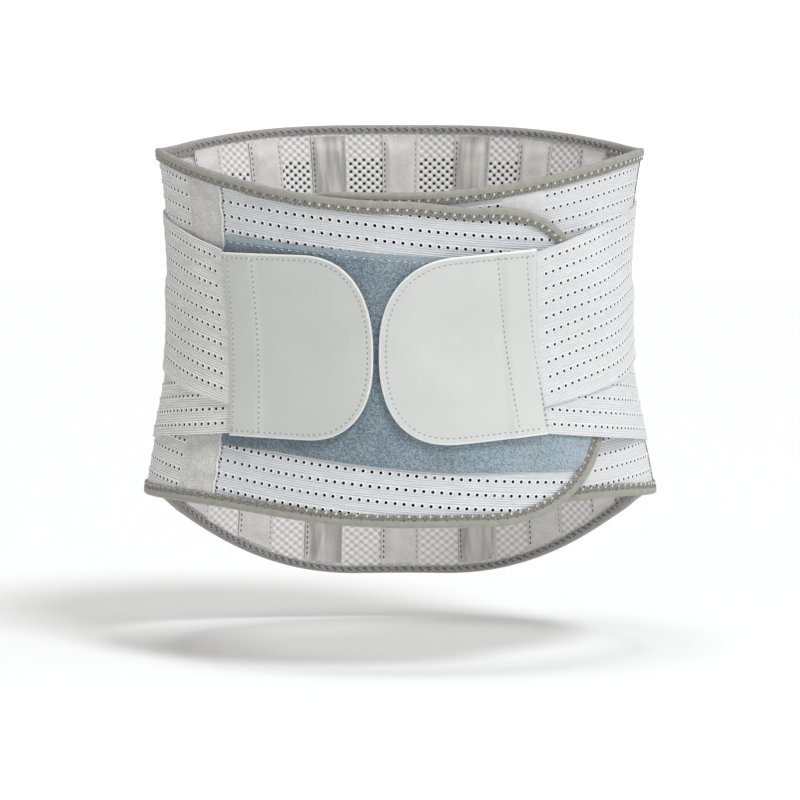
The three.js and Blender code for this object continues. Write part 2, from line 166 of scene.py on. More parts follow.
def bottom_edge(out):
    def edge(s):
        a = angle_of(s)
        sine = np.abs(np.sin(a))
        straight = REST_EDGE_HALF / WAIST_HALF_WIDTH
        back = SIDE_BOTTOM * np.maximum(0, (sine - straight) / (1 - straight)) ** 2.15
        middle = RIGHT_BOTTOM if out < 0 else LEFT_BOTTOM
        near = lerp(middle, SIDE_BOTTOM, sine**2) + HIP_RISE * np.sin(2 * a) ** 2
        near = np.where((np.asarray(s) > 0) & (out < 0), RIGHT_BOTTOM, near)
        return np.where(np.cos(a) > 0, near, back)

    return edge


def cloth_top(out, inset=FOLD):
    return lambda s: top_edge(out)(s) - inset


def cloth_bottom(out, inset=FOLD):
    return lambda s: bottom_edge(out)(s) + inset


def pad_bottom(s):
    return 98.5 - 13.5 * smooth(s, -105, 38)


def pad_top(s):
    return 206.8 - 0.085 * s + 0.0003 * s * s


REAR = arc_of(REAR_SEAM)
HALF_ROUND = arc_of(180)


def lift(s, z=0):
    """How far the right front lies off the skin, over the left one."""
    return OVERLAP * smooth(s, arc_of(LIFT_FROM), arc_of(LIFT_TO))


def sway(s, z):
    """A little unevenness that every layer shares, so that no layer comes through another."""
    return (
        0.35 * np.sin(s / 23.0 + z / 61.0)
        + 0.25 * np.sin(s / 11.0 - z / 37.0 + 1.3)
        + 0.3 * np.sin(z / 19.0 + s / 53.0 + 0.4)
    )


SLANT_REACH = 4.3


def slant(s, z):
    """How far the layers round the right webbing band move forwards towards its lower end."""
    middle = arc_of(sum(RIGHT_WEBBING) / 2)
    near = smooth(s, middle - 70, middle) * (1 - smooth(s, middle, middle + 90))
    return SLANT_REACH * near * (1 - smooth(z, 95, 200))


# ---------------------------------------------------------------- meshes


class Cloth:
    """Collects closed shells of one piece: vertices as (s, z, o), and faces with a material."""

    def __init__(self, name):
        self.name = name
        self.points, self.uvs, self.faces, self.slots, self.materials = [], [], [], [], []
        self.count = 0
        self.slants = not ("strap" in name or "tab" in name)

    def slot(self, material):
        if material not in self.materials:
            self.materials.append(material)
        return self.materials.index(material)

    def add(self, s, z, o, faces, material, uv=None):
        """faces is a list of index tuples, and material one name or one for each face."""
        s, z, o = (np.asarray(v, float).ravel() for v in np.broadcast_arrays(s, z, o))
        if self.slants:
            s = s + slant(s, z)
        self.points.append(place(s, z, o + sway(s, z)) * MM)
        self.uvs.append(np.stack([s, z], -1) * MM if uv is None else uv)
        self.faces += [tuple(int(i) + self.count for i in f) for f in faces]
        self.slots += [self.slot(m) for m in each(material, faces)]
        self.count += len(s)

    def object(self):
        mesh = bpy.data.meshes.new(self.name)
        mesh.from_pydata(np.concatenate(self.points), [], self.faces)
        mesh.polygons.foreach_set("material_index", np.array(self.slots, np.int32))
        corner = np.zeros(len(mesh.loops), np.int32)
        mesh.loops.foreach_get("vertex_index", corner)
        uvs = np.concatenate(self.uvs)[corner].astype(np.float32)
        mesh.uv_layers.new(name="UVMap").data.foreach_set("uv", uvs.ravel())
        bm = bmesh.new()
        bm.from_mesh(mesh)
        bmesh.ops.recalc_face_normals(bm, faces=bm.faces)
        bm.to_mesh(mesh)
        bm.free()
        mesh.shade_smooth()
        mesh.set_sharp_from_angle(angle=math.radians(40))
        for name in self.materials:
            mesh.materials.append(MATERIALS[name])
        return linked(self.name, mesh)


def linked(name, data):
    made = bpy.data.objects.new(name, data)
    bpy.context.scene.collection.objects.link(made)
    return made


def each(material, faces):
    """The material of each face, where one name stands for all of them."""
    return [material] * len(faces) if isinstance(material, str) else list(material)


def boundary(faces):
    """Directed edges that only one face has."""
    seen = {}
    for f in faces:
        for a, b in zip(f, f[1:] + f[:1]):
            key = (a, b) if a < b else (b, a)
            seen[key] = None if key in seen else (a, b)
    return [e for e in seen.values() if e]


def shell(cloth, s, z, outer, inner, faces, materials, back_faces=None, back=None, edge=None, uv=None):
    """Closed shell of a field: its outer face, its inner face and the wall round it. outer and
    inner are the offsets of each vertex, and back_faces a plainer set for the inner face."""
    s, z, outer, inner = (v.ravel() for v in np.broadcast_arrays(s, z, outer, inner))
    n = len(s)
    back_faces = faces if back_faces is None else back_faces
    looks = each(materials, faces)
    wall = [(b, a, a + n, b + n) for a, b in boundary(faces)]
    every = list(faces) + [tuple(i + n for i in reversed(f)) for f in back_faces] + wall
    looks = looks + each(back or materials, back_faces) + [edge or looks[0]] * len(wall)
    used = np.unique(np.array([i for f in every for i in f]))
    index = np.full(2 * n, -1)
    index[used] = np.arange(len(used))
    every = [tuple(int(index[i]) for i in f) for f in every]
    both = lambda a, b: np.concatenate([a, b])[used]
    uv = None if uv is None else both(uv, uv)
    cloth.add(both(s, s), both(z, z), both(outer, inner), every, looks, uv)


def grid_faces(rows, columns):
    i, j = np.meshgrid(np.arange(rows - 1), np.arange(columns - 1), indexing="ij")
    a = (i * columns + j).ravel()
    return [tuple(f) for f in np.stack([a, a + columns, a + columns + 1, a + 1], -1).tolist()]


def field(rows, shares, low, high):
    """Grid of s and z: rows of s, and shares of the height between low(s) and high(s)."""
    shares = np.linspace(0, 1, shares) if isinstance(shares, int) else shares
    s, v = np.meshgrid(np.asarray(rows, float), np.asarray(shares, float), indexing="ij")
    return s, lerp(low(s), high(s), v), grid_faces(len(rows), len(shares))


def spans(a, b, step):
    return np.linspace(a, b, max(2, int(math.ceil(abs(b - a) / step)) + 1))


# ---------------------------------------------------------------- holed elastic

RING = [math.radians(45 * k) for k in range(8)]
SQUARE = [(0.5, 0), (0.5, 1), (0, 1), (-0.5, 1), (-0.5, 0), (-0.5, -1), (0, -1), (0.5, -1)]
RIBS = 6  # ribs in each row of holes
LIP = 1.6  # reach of the worked edge of a hole, in radii
ROW_UV = 8.0  # height of a row of cells in the texture, in mm
END_KEEP = 1.2  # least distance from a hole's middle to the end of its sheet
EDGE_SLACK = 1e-6


def cell_template(pitch, rise, radius, depth, ribbed):
    """One cell of cloth round a hole, in shares of the cell: points (x, y, relief in mm),
    its faces with a hole and their looks, and its faces without one."""
    zone = 1 / RIBS if ribbed else 0.5
    points = [(x, y * zone, -0.1 if ribbed and y == 0 else 0.0) for x, y in SQUARE]
    # the ring out to LIP is the lip, coloured lighter than the cloth: a painted highlight beside each
    # hole
    rings = [(LIP, 0.05), (1.05, 0.26)] if ribbed else [(1.0, 0.02)]
    for share, relief in rings + [(0.92, -depth)]:
        across, up = radius * share / pitch, radius * share / rise
        points += [(across * math.cos(t), up * math.sin(t), relief) for t in RING]
    kinds = ["cloth", "lip", "wall"] if ribbed else ["cloth", "wall"]
    holed, plain = [], [(tuple(range(8)), "cloth")]
    for k in range(8):
        n = (k + 1) % 8
        for step, kind in enumerate(kinds):
            base = 8 * step
            holed.append(((base + k, base + n, base + 8 + n, base + 8 + k), kind))
    # the hole is a blind pit: its bottom gets the look pit, painted shade in place of a hole seen
    # through
    holed.append((tuple(8 * len(kinds) + k for k in range(8)), "pit"))
    for sign, line in ((-1, (5, 6, 7)), (1, (3, 2, 1))) if ribbed else ():
        for step in (1.5, 2.0, 2.5, 3.0):
            fresh = tuple(range(len(points), len(points) + 3))
            points += [(x, step * zone * sign, -0.3 if step % 1 else 0.0) for x in (-0.5, 0, 0.5)]
            for k in range(2):
                quad = (line[k], line[k + 1], fresh[k + 1], fresh[k])[::sign]
                holed.append((quad, "cloth"))
                plain.append((quad, "cloth"))
            line = fresh
    return np.array(points), holed, plain


def paced(near, way, pitch, o, height):
    """Place of (x, y), counted in cells: holes a real pitch apart round the flared tube."""
    def where(x, y):
        s = near + way * x * pitch
        for _ in range(2):
            stretch = 1 + (MEAN_FLARE * flare(height(s, y)) + o) / MEAN_RADIUS
            s = near + way * x * pitch / stretch
        return s, height(s, y)

    return where


def cells_in(length, pitch):
    """Enough columns to cover a length where the tube is widest."""
    return int(abs(length) / (0.78 * pitch)) + 2


def holed_sheet(cloth, columns, rows, where, low, high, inner, outer, look, pitch, rise, ends,
                radius=0.98, depth=0.9, ribbed=True, bare=None, keep=2.2, lean=None, paler=None):
    """Sheet of cells. columns is their number and rows the range of whole cells; where(x, y)
    gives s and z of a place counted in cells, low and high the cloth's edges at s, and ends its
    least and greatest s. Cells whose hole would lie within keep of an edge, or where bare(s, z)
    is true, have none. Each hole is a blind pit whose bottom is painted shade; paler is a paler
    look for the bottom of the holes, and where it isn't used.
    A sheet without ribs has its columns in brick order, and a plain outer face."""
    points, holed, plain = cell_template(pitch, rise, radius, depth, ribbed)
    cx, cy = (v.ravel() for v in np.meshgrid(np.arange(columns), np.arange(*rows), indexing="ij"))
    cy = cy + 0.5 + (0 if ribbed else 0.5 * (cx % 2))
    cx = cx + 0.5
    x = cx[:, None] + points[None, :, 0]
    y = cy[:, None] + points[None, :, 1]
    s, z = where(x, y)
    first, last = ends
    lo, hi = low(s), high(s)
    outside = (z < lo - EDGE_SLACK) | (z > hi + EDGE_SLACK)
    outside |= (s < first - EDGE_SLACK) | (s > last + EDGE_SLACK)
    s, z = np.clip(s, first, last), np.clip(z, lo, hi)
    sc, zc = where(cx, cy)
    has = (zc > low(sc) + keep) & (zc < high(sc) - keep)
    has &= (sc > first + END_KEEP) & (sc < last - END_KEEP)
    if bare is not None:
        has &= ~bare(sc, zc)
    # the bottom of each hole is painted shade: near black, or the paler grey where paler says
    pits = np.where(paler[1](sc, zc), look["pit"], paler[0]) if paler else [look["pit"]] * len(cx)
    key = np.round(x * 1e4).astype(np.int64) * 10**8 + np.round(y * 1e4).astype(np.int64)
    _, single, back_index = np.unique(key.ravel(), return_index=True, return_inverse=True)
    back_index = back_index.reshape(x.shape)
    s, z, outside = s.ravel()[single], z.ravel()[single], outside.ravel()[single]
    relief = np.broadcast_to(points[None, :, 2], x.shape).ravel()[single]
    across, up = x.ravel()[single] * pitch, y.ravel()[single] * (ROW_UV if ribbed else rise)
    uv = np.stack([across, up], -1) * MM
    faces, looks, simple = [], [], []
    for c, at in enumerate(back_index):
        for corners, kind in holed if has[c] else plain:
            f = tuple(int(at[k]) for k in corners)
            if not all(outside[i] for i in f):
                faces.append(f)
                looks.append(str(pits[c]) if kind == "pit" else look[kind])
        f = tuple(int(at[k]) for k in range(8))
        if not all(outside[i] for i in f):
            simple.append(f)
    o, i = outer(s, z), inner(s, z)
    if lean:
        s = s + lean(s) * (z - TAB_MIDDLE)
    plain_look = look["cloth"]
    if ribbed:
        shell(cloth, s, z, o + relief, i - relief, faces, looks, edge=plain_look, uv=uv)
    else:
        shell(cloth, s, z, o, i - relief, simple, plain_look, faces, looks, plain_look, uv)


# ---------------------------------------------------------------- materials

MATERIALS = {}


def shade(colour, k):
    return tuple(min(1.0, c * k) for c in colour)


class Look:
    """A material under construction. Lengths of its textures are in millimetres of cloth."""

    def __init__(self, name, roughness, sheen=0.0, metallic=0.0, specular=0.35):
        material = bpy.data.materials.new(name)
        MATERIALS[name] = material
        material.use_nodes = True
        self.tree = material.node_tree
        self.shader = self.tree.nodes["Principled BSDF"]
        values = {"Roughness": roughness, "Metallic": metallic, "Specular IOR Level": specular,
                  "Sheen Weight": sheen, "Sheen Roughness": 0.6}
        for socket, value in values.items():
            self.shader.inputs[socket].default_value = value
        uv = self.node("ShaderNodeUVMap", uv_map="UVMap")
        scaled = self.node("ShaderNodeVectorMath", operation="SCALE")
        self.join(uv.outputs[0], scaled.inputs[0])
        scaled.inputs["Scale"].default_value = 1000
        self.cloth = scaled.outputs[0]
        axes = self.node("ShaderNodeSeparateXYZ")
        self.join(self.cloth, axes.inputs[0])
        self.s, self.z = axes.outputs[0], axes.outputs[1]

    def node(self, kind, **settings):
        node = self.tree.nodes.new(kind)
        for key, value in settings.items():
            setattr(node, key, value)
        return node

    def join(self, a, b):
        self.tree.links.new(a, b)

    def fill(self, *pairs):
        """Gives each socket its value: a number, a colour, or another node's output."""
        for socket, value in pairs:
            if isinstance(value, tuple):
                socket.default_value = (*value, 1)
            elif isinstance(value, (int, float)):
                socket.default_value = value
            else:
                self.join(value, socket)

    def math(self, operation, a, b=0.0, c=0.0):
        node = self.node("ShaderNodeMath", operation=operation)
        self.fill(*zip(node.inputs, (a, b, c)))
        return node.outputs[0]

    def add(self, a, b):
        return self.math("ADD", a, b)

    def times(self, a, b):
        return self.math("MULTIPLY", a, b)

    def line(self, a, factor, b):
        """a times factor, plus b."""
        return self.math("MULTIPLY_ADD", a, factor, b)

    def bands(self, coordinate, period):
        """0 to 1 and back, once in each period of the coordinate."""
        turns = self.times(coordinate, 2 * math.pi / period)
        return self.line(self.math("SINE", turns), 0.5, 0.5)

    def woven(self, across, up):
        """Crossed bands of both directions."""
        return self.times(self.bands(self.s, across), self.bands(self.z, up))

    def both(self, a, share_a, b, share_b):
        return self.line(a, share_a, self.times(b, share_b))

    def noise(self, size, detail=2.0, roughness=0.55, stretch=None):
        coordinate = self.cloth
        if stretch:
            node = self.node("ShaderNodeMapping")
            self.join(self.cloth, node.inputs[0])
            node.inputs["Scale"].default_value = (*stretch, 1)
            coordinate = node.outputs[0]
        node = self.node("ShaderNodeTexNoise", noise_dimensions="2D")
        self.join(coordinate, node.inputs["Vector"])
        node.inputs["Scale"].default_value = 1 / size
        node.inputs["Detail"].default_value = detail
        node.inputs["Roughness"].default_value = roughness
        return node.outputs[0]

    def cells(self, size, feature="F1"):
        node = self.node("ShaderNodeTexVoronoi", voronoi_dimensions="2D", feature=feature)
        self.join(self.cloth, node.inputs["Vector"])
        node.inputs["Scale"].default_value = 1 / size
        return node.outputs["Distance"]

    def ramp(self, value, low, dark, high, light):
        """Colour from dark, where the value is low, to light, where it is high."""
        node = self.node("ShaderNodeValToRGB")
        self.join(value, node.inputs[0])
        for element, at, colour in zip(node.color_ramp.elements, (low, high), (dark, light)):
            element.position = at
            element.color = (*colour, 1)
        return node.outputs[0]

    def shades(self, value, colour, low, dark, high, light):
        """The same with two shades of one colour."""
        return self.ramp(value, low, shade(colour, dark), high, shade(colour, light))

    def mix(self, share, a, b):
        node = self.node("ShaderNodeMix", data_type="RGBA")
        self.fill((node.inputs[0], share), (node.inputs[6], a), (node.inputs[7], b))
        return node.outputs[2]

    def colour(self, socket):
        self.join(socket, self.shader.inputs["Base Color"])

    def rough(self, value, low, high):
        node = self.node("ShaderNodeMapRange")
        self.join(value, node.inputs[0])
        node.inputs["To Min"].default_value = low
        node.inputs["To Max"].default_value = high
        self.join(node.outputs[0], self.shader.inputs["Roughness"])

    def bump(self, height, strength, distance):
        node = self.node("ShaderNodeBump")
        node.inputs["Strength"].default_value = strength
        node.inputs["Distance"].default_value = distance * MM
        self.join(height, node.inputs["Height"])
        self.join(node.outputs[0], self.shader.inputs["Normal"])


def knit(name, colour, roughness=0.9, wale=0.95, course=0.8, depth=0.12, mottle=0.05, sheen=0.15,
         ribs=0.0):
    """Fine knit: crossed wales and courses, soft streaks along the yarns and slight mottling.
    ribs is how much darker the grooves between the ribs of a holed elastic are painted: painted
    shade, darker in uneven streaks along them."""
    look = Look(name, roughness, sheen)
    loops = look.woven(wale, course)
    streaks = look.noise(1.0, 3, stretch=(0.5, 2.4))
    patches = look.noise(9.0, 2)
    tone = look.add(look.times(streaks, 0.6), look.times(patches, 0.4))
    ground = look.shades(tone, colour, 0.3, 1 - mottle, 0.7, 1 + mottle)
    if ribs:
        # painted shade in the grooves between the ribs, uneven along them
        period = ROW_UV / RIBS
        ridge = look.bands(look.add(look.z, period / 4), period)
        uneven_groove_shade = look.noise(5.0, 3, 0.65, stretch=(0.3, 3.6))
        groove = look.times(look.math("SUBTRACT", 1.0, ridge), look.line(uneven_groove_shade, 2.4, -0.45))
        ground = look.mix(groove, ground, shade(colour, 1 - ribs))
    look.colour(ground)
    look.bump(look.add(loops, look.times(streaks, 0.8)), 0.8, depth)
    look.rough(streaks, roughness - 0.06, min(1, roughness + 0.06))


def twill(name, colour, roughness, period, wale, depth, contrast, fuzz=0.3):
    """Herringbone tape: slanted ribs that turn back at every wale."""
    look = Look(name, roughness, 0.1)
    side = look.math("PINGPONG", look.s, wale)
    ribs = look.bands(look.add(look.z, look.times(side, 1.0)), period)
    grain = look.noise(1.1, 4, 0.65)
    patches = look.noise(7.0, 2)
    tone = look.both(ribs, 0.6 - fuzz, grain, 0.2 + fuzz)
    tone = look.add(tone, look.times(patches, 0.3))
    look.colour(look.shades(tone, colour, 0.35, 1 - contrast, 0.7, 1 + contrast))
    look.bump(look.add(ribs, look.times(grain, 0.6)), 0.8, depth)
    look.rough(grain, roughness - 0.05, min(1, roughness + 0.05))


def bound(name, fold, stitched, smooth_to=2.6):
    """Binding tape: smooth over the fold, darker and mottled where it is stitched down."""
    look = Look(name, 0.85, 0.15)
    loops = look.woven(0.7, 0.6)
    specks = look.noise(0.9, 3, 0.6)
    patches = look.noise(5.0, 2)
    smooth_part = look.shades(patches, fold, 0.3, 0.9, 0.7, 1.06)
    rough_part = look.shades(specks, stitched, 0.38, 0.62, 0.62, 1.45)
    reach = look.line(patches, 1.2, look.z)
    zone = look.line(reach, 1.4, -1.4 * (smooth_to + 0.5))
    zone = look.math("MINIMUM", look.math("MAXIMUM", zone, 0.0), 1.0)
    look.colour(look.mix(zone, smooth_part, rough_part))
    look.bump(look.add(loops, look.times(specks, 1.2)), 0.9, 0.25)


def coated(name, colour):
    """Smooth coated fabric: a faint pebble grain and soft clouding."""
    look = Look(name, 0.5, specular=0.4)
    clouds = look.noise(26.0, 2)
    grain = look.cells(0.7)
    fine = look.noise(0.45, 2)
    look.colour(look.shades(clouds, colour, 0.3, 0.975, 0.7, 1.02))
    look.bump(look.add(grain, fine), 0.35, 0.05)
    look.rough(fine, 0.42, 0.56)


def pile(name, dark, light, depth, nap=0.0):
    """Brushed loops: curly tufts of about a millimetre, lighter at their tips. The last argument is
    how fast the tone rises along s: painted light, lighter towards one end of the pad."""
    look = Look(name, 0.95, 0.5, specular=0.15)
    warp = look.noise(2.2, 3, 0.6)
    tufts = look.cells(1.0, "SMOOTH_F1")
    curls = look.noise(0.8, 4, 0.7)
    broad = look.noise(14.0, 2)
    tone = look.both(curls, 0.55, warp, 0.3)
    tone = look.add(tone, look.line(broad, 0.14, 0.055))
    tone = look.math("SUBTRACT", tone, look.times(tufts, 0.18))
    # painted light: the tone rises along s
    tone = look.line(look.s, nap, tone)
    look.colour(look.ramp(tone, 0.38, dark, 0.64, shade(light, 1.06)))
    look.bump(look.math("SUBTRACT", look.add(curls, warp), tufts), 1.0, depth)


MESH_ACROSS, MESH_RISE = 2.65, 5.0  # between columns of the lining's holes, and along a column


def spacer_mesh(name, colour):
    """Spacer mesh: light knobs of yarn between the holes of its lattice."""
    look = Look(name, 0.9, 0.15)
    lean = look.times(look.s, MESH_RISE / 2 / MESH_ACROSS)
    shifted = look.add(look.z, MESH_RISE / 2)
    knobs = look.times(look.bands(look.add(look.z, lean), MESH_RISE),
                       look.bands(look.math("SUBTRACT", shifted, lean), MESH_RISE))
    yarns = look.noise(0.8, 3, 0.65, stretch=(0.6, 1.7))
    tone = look.both(knobs, 0.5, yarns, 0.5)
    look.colour(look.shades(tone, colour, 0.16, 0.85, 0.6, 1.15))
    look.bump(look.add(knobs, yarns), 1.0, 0.4)


def satin(name, colour):
    """Satin tape: fine lengthwise threads with a soft gloss."""
    look = Look(name, 0.5, 0.2, specular=0.5)
    threads = look.noise(1.0, 3, stretch=(3.0, 0.12))
    folds = look.noise(5.0, 2, stretch=(1.0, 0.12))
    # the colour is lighter and darker along the folds: painted sheen and shade
    tone = look.both(threads, 0.2, folds, 0.8)
    look.colour(look.shades(tone, colour, 0.37, 0.72, 0.62, 1.2))
    look.bump(threads, 0.5, 0.08)
    look.rough(folds, 0.42, 0.6)


def thread(name, colour):
    """Sewing thread: two plies twisted round each other."""
    look = Look(name, 0.7, 0.1)
    twist = look.bands(look.add(look.s, look.z), 0.5)
    look.colour(look.shades(twist, colour, 0.1, 0.86, 0.9, 1.06))
    look.bump(twist, 0.5, 0.06)


def plain_solid(name, colour, roughness, metallic=0.0):
    """Moulded or rolled stay: faint lengthwise marks."""
    look = Look(name, roughness, metallic=metallic, specular=0.5)
    marks = look.noise(1.0, 3, stretch=(1.5, 0.1))
    look.colour(look.shades(marks, colour, 0.3, 0.95, 0.7, 1.03))
    look.bump(marks, 0.3, 0.04)
    look.rough(marks, roughness - 0.05, roughness + 0.08)


def hook_tape(name, colour):
    """Hook tape: rows of small bent hooks on a woven ground."""
    look = Look(name, 0.6, specular=0.5)
    rows = look.woven(1.3, 1.7)
    grain = look.noise(0.5, 2)
    tone = look.both(rows, 0.8, grain, 0.2)
    look.colour(look.shades(tone, colour, 0.1, 0.8, 0.8, 1.08))
    look.bump(tone, 1.0, 0.5)


# ribs darkens the grooves between the ribs of each elastic: painted shade
knit("elastic", (0.80, 0.80, 0.795), ribs=0.34)
knit("pale_elastic", (0.745, 0.75, 0.762), ribs=0.16)
knit("front_elastic", (0.74, 0.765, 0.79), ribs=0.25)
# the lip round each hole is lighter than the elastic: a painted highlight
knit("lip", (0.93, 0.93, 0.92), mottle=0.03)
# the wall of a hole: painted shade
knit("hole_wall", (0.2, 0.2, 0.21))
# the near-black bottom of a hole: painted shade
knit("hole", (0.012, 0.012, 0.014), 0.95, mottle=0.3, sheen=0.0)
knit("back_fabric", (0.62, 0.62, 0.62), wale=0.8, course=1.1, depth=0.2)
# the paler bottom of some holes: painted shade
knit("pale_hole", (0.26, 0.265, 0.27), 0.95, mottle=0.3, sheen=0.0)
spacer_mesh("mesh", (0.90, 0.875, 0.855))
# the near-black bottom of the mesh's holes: painted shade
knit("mesh_hole", (0.05, 0.05, 0.052), mottle=0.3, sheen=0.0)
knit("mesh_dimple", (0.70, 0.68, 0.67), mottle=0.12)
twill("tape", (0.74, 0.72, 0.70), 0.8, 1.5, 5.2, 0.3, 0.15)
satin("satin", (0.54, 0.52, 0.49))
twill("webbing", (0.66, 0.655, 0.63), 0.85, 1.3, 3.4, 0.4, 0.3, fuzz=0.35)
twill("hatched_webbing", (0.76, 0.77, 0.765), 0.85, 1.3, 60.0, 0.3, 0.13)
bound("binding", (0.39, 0.388, 0.34), (0.235, 0.23, 0.195))
bound("dark_binding", (0.39, 0.36, 0.35), (0.33, 0.305, 0.295), -0.6)
knit("seam", (0.14, 0.14, 0.145), 0.85, mottle=0.1)
# the pad is painted lighter towards the wearer's left: painted light
pile("loop", (0.13, 0.19, 0.235), (0.43, 0.54, 0.61), depth=0.8, nap=0.0012)
pile("loop_edge", (0.22, 0.27, 0.31), (0.33, 0.40, 0.44), depth=0.15)
hook_tape("hook", (0.60, 0.62, 0.63))
coated("coated", (0.575, 0.59, 0.555))
coated("coated_light", (0.64, 0.66, 0.64))
# lighter copies of the two tab colours, for a band along the tabs' edges: a painted highlight
coated("coated_rim", (0.747, 0.767, 0.722))
coated("coated_light_rim", (0.832, 0.858, 0.832))
plain_solid("plastic", (0.82, 0.82, 0.79), 0.45)
plain_solid("steel", (0.52, 0.53, 0.55), 0.3, 1.0)
thread("light_thread", (0.80, 0.80, 0.77))
thread("grey_thread", (0.36, 0.37, 0.35))
thread("dark_thread", (0.085, 0.08, 0.08))
thread("tab_thread", (0.36, 0.36, 0.335))
thread("olive_thread", (0.46, 0.46, 0.42))


# ---------------------------------------------------------------- stitches and tapes


def value_noise(x, y, seed=0.0):
    """Smooth noise from 0 to 1 with one knot in each unit."""
    xi, yi = np.floor(x), np.floor(y)
    fx, fy = x - xi, y - yi
    fx, fy = fx * fx * (3 - 2 * fx), fy * fy * (3 - 2 * fy)
    knot = lambda a, b: np.modf(np.abs(np.sin(a * 127.1 + b * 311.7 + seed * 74.7) * 43758.5453))[0]
    low = lerp(knot(xi, yi), knot(xi + 1, yi), fx)
    return lerp(low, lerp(knot(xi, yi + 1), knot(xi + 1, yi + 1), fx), fy)


def uneven(x, y, seed):
    return value_noise(x, y, seed) - 0.5


def lengths(s, z):
    return np.concatenate([[0], np.cumsum(np.hypot(np.diff(s), np.diff(z)))])


def walk(s, z, pitch, start=0.5):
    """Points a pitch apart along a line, with the direction of the line there."""
    t = lengths(s, z)
    at = (np.arange(int(t[-1] / pitch + 1 - start)) + start) * pitch
    at = at[at < t[-1]]
    get = lambda u: np.array([np.interp(u, t, s), np.interp(u, t, z)])
    p, d = get(at), get(at + 0.3) - get(at - 0.3)
    return p[0], p[1], d / np.maximum(np.hypot(*d), 1e-9)


STITCH = np.array([(0.5, 0), (0.25, 0.5), (-0.25, 0.5), (-0.5, 0), (-0.25, -0.5), (0.25, -0.5),
                   (0.28, 0), (-0.28, 0)])
STITCH_FACES = [(0, 1, 6), (1, 2, 7, 6), (2, 3, 7), (3, 4, 7), (4, 5, 6, 7), (5, 0, 6),
                (5, 4, 3, 2, 1, 0)]


def stitches(cloth, s, z, o, direction, length, width, height, material, turn=0.0):
    """A small raised thread at each point, along the direction turned by that many degrees."""
    if not len(s):
        return
    c, k = math.cos(math.radians(turn)), math.sin(math.radians(turn))
    du, dv = direction[0] * c - direction[1] * k, direction[0] * k + direction[1] * c
    a, b = STITCH[:, 0] * length, STITCH[:, 1] * width
    ss = s[:, None] + du[:, None] * a - dv[:, None] * b
    zz = z[:, None] + dv[:, None] * a + du[:, None] * b
    up = np.where(np.arange(8) > 5, height, -0.12)
    oo = np.broadcast_to(np.asarray(o, float).reshape(-1, 1), ss.shape) + up
    faces = [tuple(i + 8 * n for i in f) for n in range(len(s)) for f in STITCH_FACES]
    cloth.add(ss, zz, oo, faces, material)


def seam_row(cloth, s, z, outside, pitch, length, width, height, material, start=0.5):
    """A row of stitches along a line. Upright ones may give one s for both ends."""
    s, z = np.broadcast_arrays(np.asarray(s, float), np.asarray(z, float))
    p, q, d = walk(s, z, pitch, start)
    stitches(cloth, p, q, outside(p, q), d, length, width, height, material)


def rope(cloth, s, z, outside, radius, material):
    """Thin round cord along a line on the cloth."""
    t = lengths(s, z)
    ds, dz = np.gradient(s, t), np.gradient(z, t)
    around = np.radians(np.arange(6) * 60)
    across, up = np.cos(around) * radius, np.sin(around) * radius
    rows = len(s)
    faces = [(r * 6 + k, r * 6 + (k + 1) % 6, r * 6 + 6 + (k + 1) % 6, r * 6 + 6 + k)
             for r in range(rows - 1) for k in range(6)]
    faces += [tuple(range(5, -1, -1)), tuple((rows - 1) * 6 + k for k in range(6))]
    cloth.add(s[:, None] - dz[:, None] * across, z[:, None] + ds[:, None] * across,
              outside(s, z)[:, None] + up, faces, material)


def line_along(s, z, at, reach):
    """Points of a line at those lengths, and the way it runs there, over reach to each side."""
    t = lengths(s, z)
    ahead, behind = at + reach, at - reach
    ds = np.interp(ahead, t, s) - np.interp(behind, t, s)
    dz = np.interp(ahead, t, z) - np.interp(behind, t, z)
    size = np.maximum(np.hypot(ds, dz), 1e-9)
    return np.interp(at, t, s), np.interp(at, t, z), ds / size, dz / size


